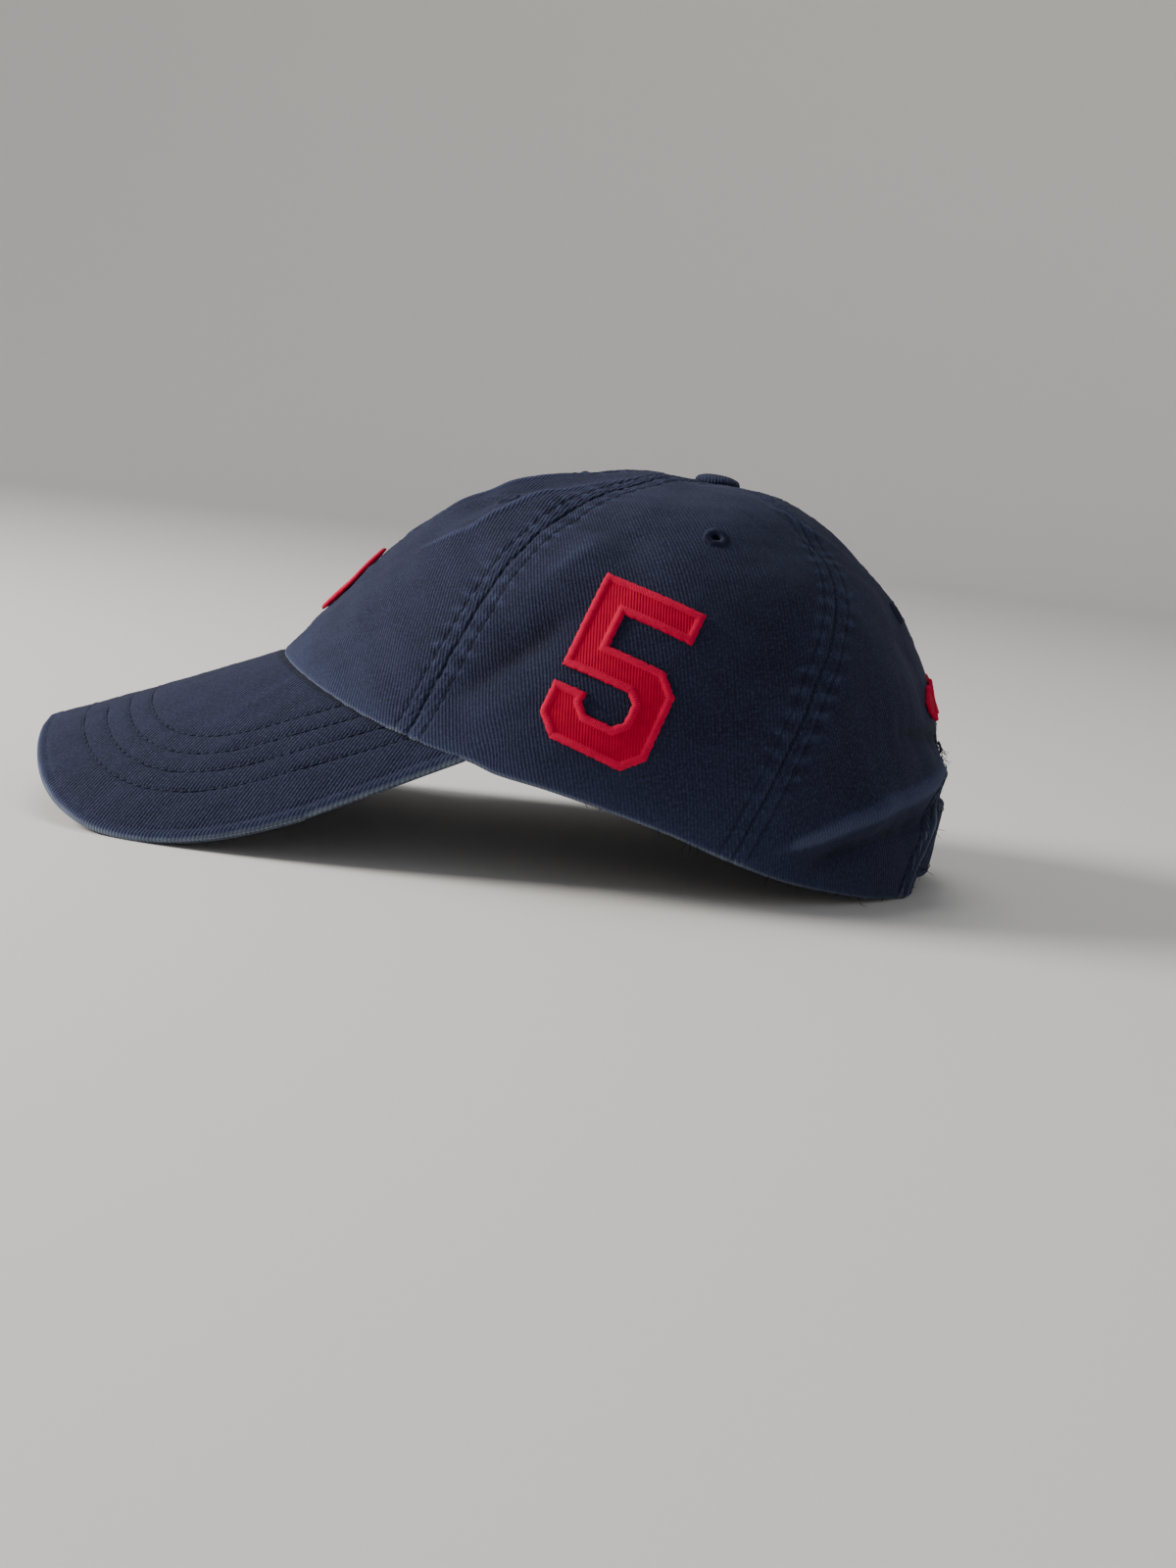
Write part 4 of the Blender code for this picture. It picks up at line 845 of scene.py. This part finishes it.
# The strap: a folded band of the twill, edge-stitched, sewn inside the back panels at both ends, with a
# plain brass slide round it.
STRAP_WIDTH, STRAP_WALL, STRAP_LAP = 22.0 * MM, 1.4 * MM, 11.0 * MM
STRAP_BULGE, STRAP_LIFT, STRAP_EASE = 1.5 * MM, 2.8 * MM, 0.8 * MM
STRAP_ROW = 2.2              # millimetres from its edges to their stitching
STRAP_FREE = OPENING_HALF_WIDTH * 0.80


def strap_edge(arc, level):
    """A long edge of the strap: inside the panels at its ends and proud of the crown in the middle."""
    turns, lengths = hem_turns()
    turn = np.interp(np.abs(arc), lengths, turns)
    turn = np.where(arc < 0, 360.0 - turn, turn)
    inside = CLOTH + 0.3 * MM + STRAP_EASE
    free = blend((STRAP_FREE - np.abs(arc)) / STRAP_FREE)
    plain, normal = crown_plain(level, turn), crown_normal(level, turn)
    rise = fold_sum(plain, FOLDS) * blend((1.0 - level) / 0.06)
    return plain + normal * (rise + (STRAP_BULGE + inside) * free - inside)[:, None]


arc = np.linspace(OPENING_HALF_WIDTH + STRAP_LAP, -OPENING_HALF_WIDTH - STRAP_LAP, 181)
low_level = 1.0 - STRAP_LIFT / BACK_LENGTH
low = strap_edge(arc, np.full(arc.shape, low_level))
high = strap_edge(arc, np.full(arc.shape, low_level - STRAP_WIDTH / BACK_LENGTH))
up_way = (high - low) / np.linalg.norm(high - low, axis=-1, keepdims=True)
face = np.cross(np.gradient(low, axis=0), up_way)
face /= np.linalg.norm(face, axis=-1, keepdims=True)
face *= np.sign((face * (low - crown_plain(1.0, 0.0))).sum(axis=-1, keepdims=True))
arcs, height = np.meshgrid(arc, edge_spacing(36))
from_edge = np.minimum(height, 1 - height) * STRAP_WIDTH / MM
relief = -0.25 * bell(from_edge - STRAP_ROW, 0.5) - 0.55 * np.clip(1 - from_edge / 0.8, 0, 1) ** 2
relief = (relief + 0.10 * ripple(arcs, height * STRAP_WIDTH, 9 * MM, 61))[..., None] * MM
band = high + (low - high) * height[..., None]
# Painted shading in the grooves of the edge stitching.
tints = {"wear": 0.9 * bell(from_edge, 0.8) + 0.3 * bell(from_edge - 1.3, 0.5),
         "painted_shade": 0.5 * bell(from_edge - STRAP_ROW, 0.4)}
strap = shell("back_strap_cloth", band + face * relief, band - face * STRAP_WALL - face * relief * 0.6,
              woven(arcs / MM, height * STRAP_WIDTH / MM, BIAS), tints, navy_twill,
              bulge=(0.2 * MM, 0.2 * MM, 0.25 * MM, 0.25 * MM))
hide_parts("back_strap")
row_share = STRAP_ROW * MM / STRAP_WIDTH
strap_paths = [(high + (low - high) * share + face * 0.05 * MM, face) for share in (row_share, 1 - row_share)]
edging = stitches("strap_edge_stitching", strap_paths, 2.8 * MM, 0.5 * MM, 0.40 * MM, 0.28 * MM, navy_thread)


# The slide: a sleeve of stamped brass, its corners rounded by tumbling, chemically aged and then rubbed
# bright again on its edges.
def aged_brass(name):
    """Brass whose brown film is broken by a fine grain and thins where a noise is high."""
    finish, tree, shader = new_finish(name)
    place = [("Vector", add_node(tree, "TexCoord", "Object"))]
    film = add_node(tree, "TexNoise", "Fac", place, Scale=420.0, Detail=5.0, Roughness=0.65)
    grain = add_node(tree, "TexNoise", "Fac", place, Scale=2600.0, Detail=2.0)
    mixed = add_node(tree, "Mix", "Result", [("Factor", film), ("A", linear("#6E5A36")),
                                             ("B", linear("#B79B62"))], data_type="RGBA")
    rough = add_node(tree, "MapRange", "Result", [("Value", film)], From_Min=0.3, From_Max=0.7,
                     To_Min=0.46, To_Max=0.28)
    bump = add_node(tree, "Bump", "Normal", [("Height", grain)], Strength=0.15, Distance=0.0001)
    feed(tree, shader, [("Base Color", mixed), ("Roughness", rough), ("Normal", bump), ("Metallic", 1.0)])
    return finish


work = bmesh.new()
work.from_mesh(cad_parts["strap_slide"].data)
bmesh.ops.remove_doubles(work, verts=work.verts, dist=1e-6)
bmesh.ops.dissolve_limit(work, angle_limit=math.radians(1), verts=work.verts, edges=work.edges)
mesh = bpy.data.meshes.new("strap_slide_tumbled")
work.to_mesh(mesh)
work.free()
mesh.materials.clear()
slide = finished(mesh, "strap_slide_tumbled", aged_brass("aged_stamped_brass"))
corners = slide.modifiers.new("tumbled corners", "BEVEL")
corners.width = 0.45 * MM
corners.segments = 4
corners.limit_method = "ANGLE"
corners.harden_normals = True
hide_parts("strap_slide")


# The patches: shapes of red twill whose raw edge is covered by a 2.3 mm border of close satin stitch. The
# threads of the border lie across the edge, and the cloth between them keeps its fine upright ribs.
BORDER = 2.3
BORDER_PROFILE = ((0.0, 0.30), (0.06, 0.85), (0.35, 1.22), (0.9, 1.42), (1.4, 1.42), (1.9, 1.26), (2.2, 1.02),
                  (2.3, 0.94))       # inset and height, in millimetres
STITCH_CELL, NET_CELL = 0.8, 0.9     # millimetres
PATCH_BACK = -0.15                   # height of the patch's flat back


def offset_corners(corners, inset):
    """Corners of a polygon moved inwards by a distance: along the sum of the two edge normals over one plus
    their dot product."""
    before, after = np.roll(corners, 1, axis=0), np.roll(corners, -1, axis=0)
    into, onward = corners - before, after - corners
    n1 = np.stack([-into[:, 1], into[:, 0]], axis=-1) / np.linalg.norm(into, axis=1, keepdims=True)
    n2 = np.stack([-onward[:, 1], onward[:, 0]], axis=-1) / np.linalg.norm(onward, axis=1, keepdims=True)
    return corners + (n1 + n2) / (1 + (n1 * n2).sum(axis=1, keepdims=True)) * inset


def edge_loop(corners, counts):
    """Points along a polygon's edges, each edge cut into its own number of equal parts."""
    after = np.roll(corners, -1, axis=0)
    return np.concatenate([a + (b - a) * (np.arange(k) / k)[:, None]
                           for a, b, k in zip(corners, after, counts)])


def fill(loop, net, loop_start, net_start):
    """Triangles that fill a closed loop over a net of points, and the points that they add. The loop's points
    are numbered from one number and the added ones from another."""
    m = len(loop)
    ring = [(k, (k + 1) % m) for k in range(m)]
    points = [Vector(point) for point in np.concatenate([loop, net])]
    flat, _, triangles, origin, _, _ = delaunay_2d_cdt(points, ring, [], 1, 1e-5)
    number = np.full(len(flat), -1)
    for point, sources in enumerate(origin):
        for source in sources:
            if source < m:
                number[point] = loop_start + source
    added = np.nonzero(number < 0)[0]
    number[added] = net_start + np.arange(len(added))
    faces = [[int(number[k]) for k in triangle] for triangle in triangles]
    return faces, np.array([flat[k][:] for k in added])


def sewn_patch(name, corners, border, level, turn, lean, rib_angle, finish):
    """Loops that step inwards through the border's profile, a fine net inside the last one and a flat back,
    all laid on the crown."""
    corners = np.array(corners)
    lengths = np.linalg.norm(np.roll(corners, -1, axis=0) - corners, axis=1)
    counts = np.maximum(1, np.round(lengths / STITCH_CELL)).astype(int)
    arc = np.concatenate([start + length * (np.arange(k) / k)
                          for start, length, k in zip(np.cumsum(lengths) - lengths, lengths, counts)])
    jag = 0.14 * np.sin(arc * 2.9) * np.sin(arc * 1.13 + 1) + 0.08 * np.sin(arc * 5.3)
    m, loops, heights = len(arc), [], []
    for distance, height in BORDER_PROFILE:
        inset = distance * border / BORDER
        loop, further = (edge_loop(offset_corners(corners, inset + more), counts) for more in (0.0, 0.1))
        loops.append(loop + (loop - further) * 10 * (jag * (1 - distance / BORDER))[:, None])
        heights.append(np.full(m, height) + 0.05 * np.sin(arc * 4.1) * (distance > 0.1))
    low, high = loops[-1].min(axis=0), loops[-1].max(axis=0)
    spots = np.meshgrid(*[np.arange(start, end, NET_CELL) for start, end in zip(low, high)])
    net = np.stack(spots, axis=-1).reshape(-1, 2)
    net = net[np.linalg.norm(net[:, None] - loops[-1][None], axis=-1).min(axis=1) > NET_CELL / 2]
    last = (len(BORDER_PROFILE) - 1) * m
    faces, middle = fill(loops[-1], net, last, last + m)
    for k in range(len(BORDER_PROFILE) - 1):
        a, b = k * m + np.arange(m), k * m + np.roll(np.arange(m), -1)
        faces += np.stack([a, b, b + m, a + m], axis=-1).tolist()
    back_faces, back = fill(loops[0], net, 0, last + m + len(middle))
    faces += [face[::-1] for face in back_faces]
    plane = np.concatenate(loops + [middle, back])
    heights += [np.full(len(middle), BORDER_PROFILE[-1][1]), np.full(len(back), PATCH_BACK)]
    lift = np.concatenate(heights)
    inside = np.full(len(middle) + len(back), BORDER + 1)
    inset = np.concatenate([np.repeat([distance for distance, _ in BORDER_PROFILE], m), inside])
    run = np.concatenate([np.tile(arc, len(BORDER_PROFILE)), 0 * inside])
    points, normal = soft_crown(*lay_on_crown(plane * MM, level, turn, lean))
    mesh = new_mesh(name, points + normal * (lift * MM)[:, None], faces)
    paint(mesh, woven(*plane.T, math.radians(rib_angle)), {"run": run, "inset": inset})
    work = bmesh.new()
    work.from_mesh(mesh)
    bmesh.ops.delete(work, geom=[v for v in work.verts if not v.link_faces], context="VERTS")
    work.to_mesh(mesh)
    work.free()
    piece = finished(mesh, name + "_sewn", finish)
    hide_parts(name)


def red_cloth(name, shade_colour, body, highlight_colour):
    """Red twill inside a satin-stitched border: the border's threads are waves along the edge, and inside it
    the ribs are waves across the cloth. Both change the relief, and the colour a little as painted light and
    shading: darker in the ribs' troughs and brighter on the satin threads' crests."""
    finish, tree, shader = new_finish(name)
    cloth = [("Vector", add_node(tree, "UVMap", "UV", uv_map="cloth"))]
    run = add_node(tree, "Attribute", "Fac", attribute_name="run")
    inset = add_node(tree, "Attribute", "Fac", attribute_name="inset")
    along = add_node(tree, "CombineXYZ", "Vector", [("X", run), ("Y", inset)])
    satin = add_node(tree, "TexWave", "Fac", [("Vector", along)], wave_type="BANDS",
                     bands_direction="X", Scale=WAVE / 0.5, Distortion=1.2, Detail=1.0, Detail_Scale=1.5)
    ribs = add_node(tree, "TexWave", "Fac", cloth, wave_type="BANDS", bands_direction="X",
                    Scale=WAVE / 0.8, Distortion=0.6, Detail=1.0, Detail_Scale=1.5)
    uneven = add_node(tree, "TexNoise", "Fac", cloth, Scale=0.35, Detail=4.0, Roughness=0.6)
    edge = add_node(tree, "MapRange", "Result", [("Value", inset)], From_Min=2.1, From_Max=2.35,
                    To_Min=1.0, To_Max=0.0)
    relief = add_node(tree, "Mix", "Result", [("Factor", edge), ("A", ribs), ("B", satin)], data_type="FLOAT")
    # Painted light and shading of the threads: darker in the ribs' troughs, brighter on the satin's crests.
    inner, outer = (add_node(tree, "Mix", "Result", [("Factor", share), ("A", linear(low)),
                                                     ("B", linear(high))], data_type="RGBA")
                    for share, low, high in ((ribs, shade_colour, body), (satin, body, highlight_colour)))
    both = add_node(tree, "Mix", "Result", [("Factor", edge), ("A", inner), ("B", outer)], data_type="RGBA")
    level = add_node(tree, "MapRange", "Result", [("Value", uneven)], From_Min=0.3, From_Max=0.7,
                     To_Min=0.86, To_Max=1.08)
    lit = add_node(tree, "VectorMath", "Vector", [(0, both), ("Scale", level)], operation="SCALE")
    bump = add_node(tree, "Bump", "Normal", [("Height", relief)], Strength=0.7, Distance=0.00014)
    feed(tree, shader, [("Base Color", lit), ("Normal", bump), ("Roughness", 0.8),
                        ("Specular IOR Level", 0.12)])
    return finish


red_twill = red_cloth("red_twill_with_satin_border", "#A8002B", "#BC0032", "#D8164A")
w, h, t, c = 31.5, 48.5, 9.6, 5.4
bowl, notch = h * 0.60, c * 0.45
figure = [(c, 0), (w - c, 0), (w, c), (w, bowl - c), (w - c, bowl), (t, bowl), (t, h - t), (w * 0.94, h - t),
          (w * 0.94, h), (0, h), (0, bowl - t), (w - t - notch, bowl - t), (w - t, bowl - t - notch),
          (w - t, t + notch), (w - t - notch, t), (t + notch, t), (t, t + notch), (t, t + c), (0, t + c),
          (0, c)]
figure = [(x - w / 2, y - h / 2) for x, y in figure]
sewn_patch("number_patch", figure, 2.3, 0.742, 81.5, 0.0, 22.0, red_twill)
w, h, cut = 20.0, 26.0, 0.12
half = [(w / 2, -cut * h / 2), (w / 2, cut * h / 2), (cut * w / 2, h / 2), (-cut * w / 2, h / 2)]
sewn_patch("front_emblem", half + [(-x, -y) for x, y in half], 2.0, 0.800, -2.0, 0.0, 0.0, red_twill)
w, h, count = 58.0, 11.0, 5
cell, neck, top = w / count, h * 0.22, []
for k in range(count):
    left = -w / 2 + k * cell
    top += [(left, neck / 2), (left + cell * 0.44, h / 2), (left + cell * 0.56, h / 2)]
top.append((w / 2, neck / 2))
sewn_patch("back_emblem", [(x, -y) for x, y in top] + top[::-1], 0.9, 0.628, 180.0, 0.0, 0.0, red_twill)


# Loose threads: where washing has frayed the folded edges, single navy yarns stand out, most from the hem of
# the opening and a few from the rim.
def yarns(name, starts, ways, lengths, thick, seed, finish):
    """Tubes of seven rings of five points along curves that leave each start in its own way and are bent
    aside and down by a random amount that grows with the square of the length."""
    rng = np.random.default_rng(seed)
    u = np.linspace(0.0, 1.0, 7)
    bend = rng.normal(0.0, 0.55, (len(starts), 3)) + np.array([0.0, 0.0, -0.35])
    reach = ways[:, None] * u[:, None] + bend[:, None] * (u**2)[:, None]
    curve = starts[:, None] + lengths[:, None, None] * reach
    way = np.gradient(curve, axis=1)
    way /= np.linalg.norm(way, axis=-1, keepdims=True)
    across = np.cross(way, rng.normal(size=(len(starts), 1, 3)))
    across /= np.linalg.norm(across, axis=-1, keepdims=True)
    phi = np.arange(5) * 2 * math.pi / 5
    other = np.cross(across, way)
    spokes = across[:, :, None] * np.cos(phi)[:, None] + other[:, :, None] * np.sin(phi)[:, None]
    radius = (thick / 2 * (1 - 0.6 * u))[None, :, None, None]
    curve[..., 2] = np.maximum(curve[..., 2], FLOOR_GAP + thick - STAND[2])
    return tubes(name, curve[:, :, None] + radius * spokes, finish)


rng = np.random.default_rng(12)
turns, lengths = hem_turns()
arch_psi = rng.uniform(0.02, 1.0, 150) ** 0.8 * math.pi / 2
arch_side = rng.choice((-1.0, 1.0), 150)
arch_level = 1.0 - OPENING_HEIGHT / BACK_LENGTH * np.sin(arch_psi)
arch_turn = arch_side * np.interp(OPENING_HALF_WIDTH * np.cos(arch_psi), lengths, turns)
rim_turns = rng.uniform(-180.0, 180.0, 40)
rim_turns = rim_turns[(np.abs(rim_turns) > 70.0) & (np.abs(rim_turns) < 150.0)]
level = np.concatenate([arch_level, np.full(len(rim_turns), 1.0)])
turn = np.concatenate([arch_turn, rim_turns])
foot, normal = crown_plain(level, turn), crown_normal(level, turn)
centre = crown_plain(1.0 - 0.4 * OPENING_HEIGHT / BACK_LENGTH, 180.0)
at_arch = np.arange(len(level)) < len(arch_level)
inward = np.where(at_arch[:, None], centre - foot, np.array([0.0, 0.0, -1.0]))
inward /= np.linalg.norm(inward, axis=1, keepdims=True)
yarn_length = rng.uniform(1.0, 3.2, len(level)) * MM
yarn_length[:3], yarn_length[-2:] = 6.0 * MM, 5.0 * MM
foot = foot - normal * 0.5 * MM - inward * 0.3 * MM
ways = inward + normal * rng.uniform(-0.2, 0.9, (len(level), 1))
fray = yarns("frayed_yarns", foot, ways, yarn_length, 0.28 * MM, 13, navy_thread)


# The stage: a pale seamless floor that sweeps up into a wall all round, a large soft key above the front of
# the cap, a weak fill beside the camera, and a camera where the photograph's was.
SWEEP_START, SWEEP_RADIUS = 1.8, 0.7      # metres
sweep = np.linspace(0.1, math.pi / 2, 14)
curve = np.stack([SWEEP_START + SWEEP_RADIUS * np.sin(sweep), SWEEP_RADIUS * (1 - np.cos(sweep))], axis=-1)
profile = np.concatenate([[(0.0, 0.0), (0.6, 0.0), (SWEEP_START, 0.0)], curve, [(2.5, 1.3)]])
phi, along = np.meshgrid(np.linspace(0, 2 * math.pi, 97), profile[:, 0])
points = np.stack([along * np.cos(phi), along * np.sin(phi), profile[:, 1, None] + 0 * phi], axis=-1)
mesh = bpy.data.meshes.new("stage")
quads = grid_quads(np.arange(phi.size).reshape(phi.shape))
mesh.from_pydata(points.reshape(-1, 3).tolist(), [], quads.tolist())
mesh.shade_smooth()
stage = bpy.data.objects.new("stage", mesh)
bpy.context.scene.collection.objects.link(stage)
finish, tree, shader = new_finish("pale_matt_paint")
feed(tree, shader, [("Base Color", linear("#E4E2DF")), ("Roughness", 0.75)])
stage.data.materials.append(finish)

for name, place, size, power, colour in (
        ("key", (-1.35, 0.05, 0.75), 0.7, 35.5, "#FFF9F2"), ("fill", (0.3, -1.7, 0.7), 1.2, 1.0, "#F2F5FF"),
        ("top", (-0.2, 0.5, 1.6), 1.0, 8.0, "#FFFFFF")):
    lamp = bpy.data.lights.new(name, "AREA")
    lamp.shape, lamp.size, lamp.energy, lamp.color = "DISK", size, power, linear(colour)[:3]
    holder = bpy.data.objects.new(name, lamp)
    holder.location = place
    holder.rotation_euler = (Vector((0.0, 0.0, 0.05)) - Vector(place)).to_track_quat("-Z", "Y").to_euler()
    bpy.context.scene.collection.objects.link(holder)
world = bpy.data.worlds.new("studio")
world.use_nodes = True
feed(world.node_tree, world.node_tree.nodes["Background"], [("Color", linear("#DADDE2")), ("Strength", 0.35)])
bpy.context.scene.world = world

eye = np.array([-49.61, -706.63, 124.82]) * MM + STAND
aim = np.array([0.0, 0.0, 17.73]) * MM + STAND
forward = (aim - eye) / np.linalg.norm(aim - eye)
upward = np.array([-0.105, 0.156, 0.982])
right = np.cross(forward, upward)
right /= np.linalg.norm(right)
upward = np.cross(right, forward)
lens = bpy.data.cameras.new("camera")
lens.lens, lens.sensor_width = 54.0, 36.0
lens.clip_start, lens.clip_end = 0.05, 20.0
camera = bpy.data.objects.new("camera", lens)
turned = np.column_stack([right, upward, -forward, eye])
camera.matrix_world = Matrix(turned.tolist() + [[0.0, 0.0, 0.0, 1.0]])
bpy.context.scene.collection.objects.link(camera)
bpy.context.scene.camera = camera
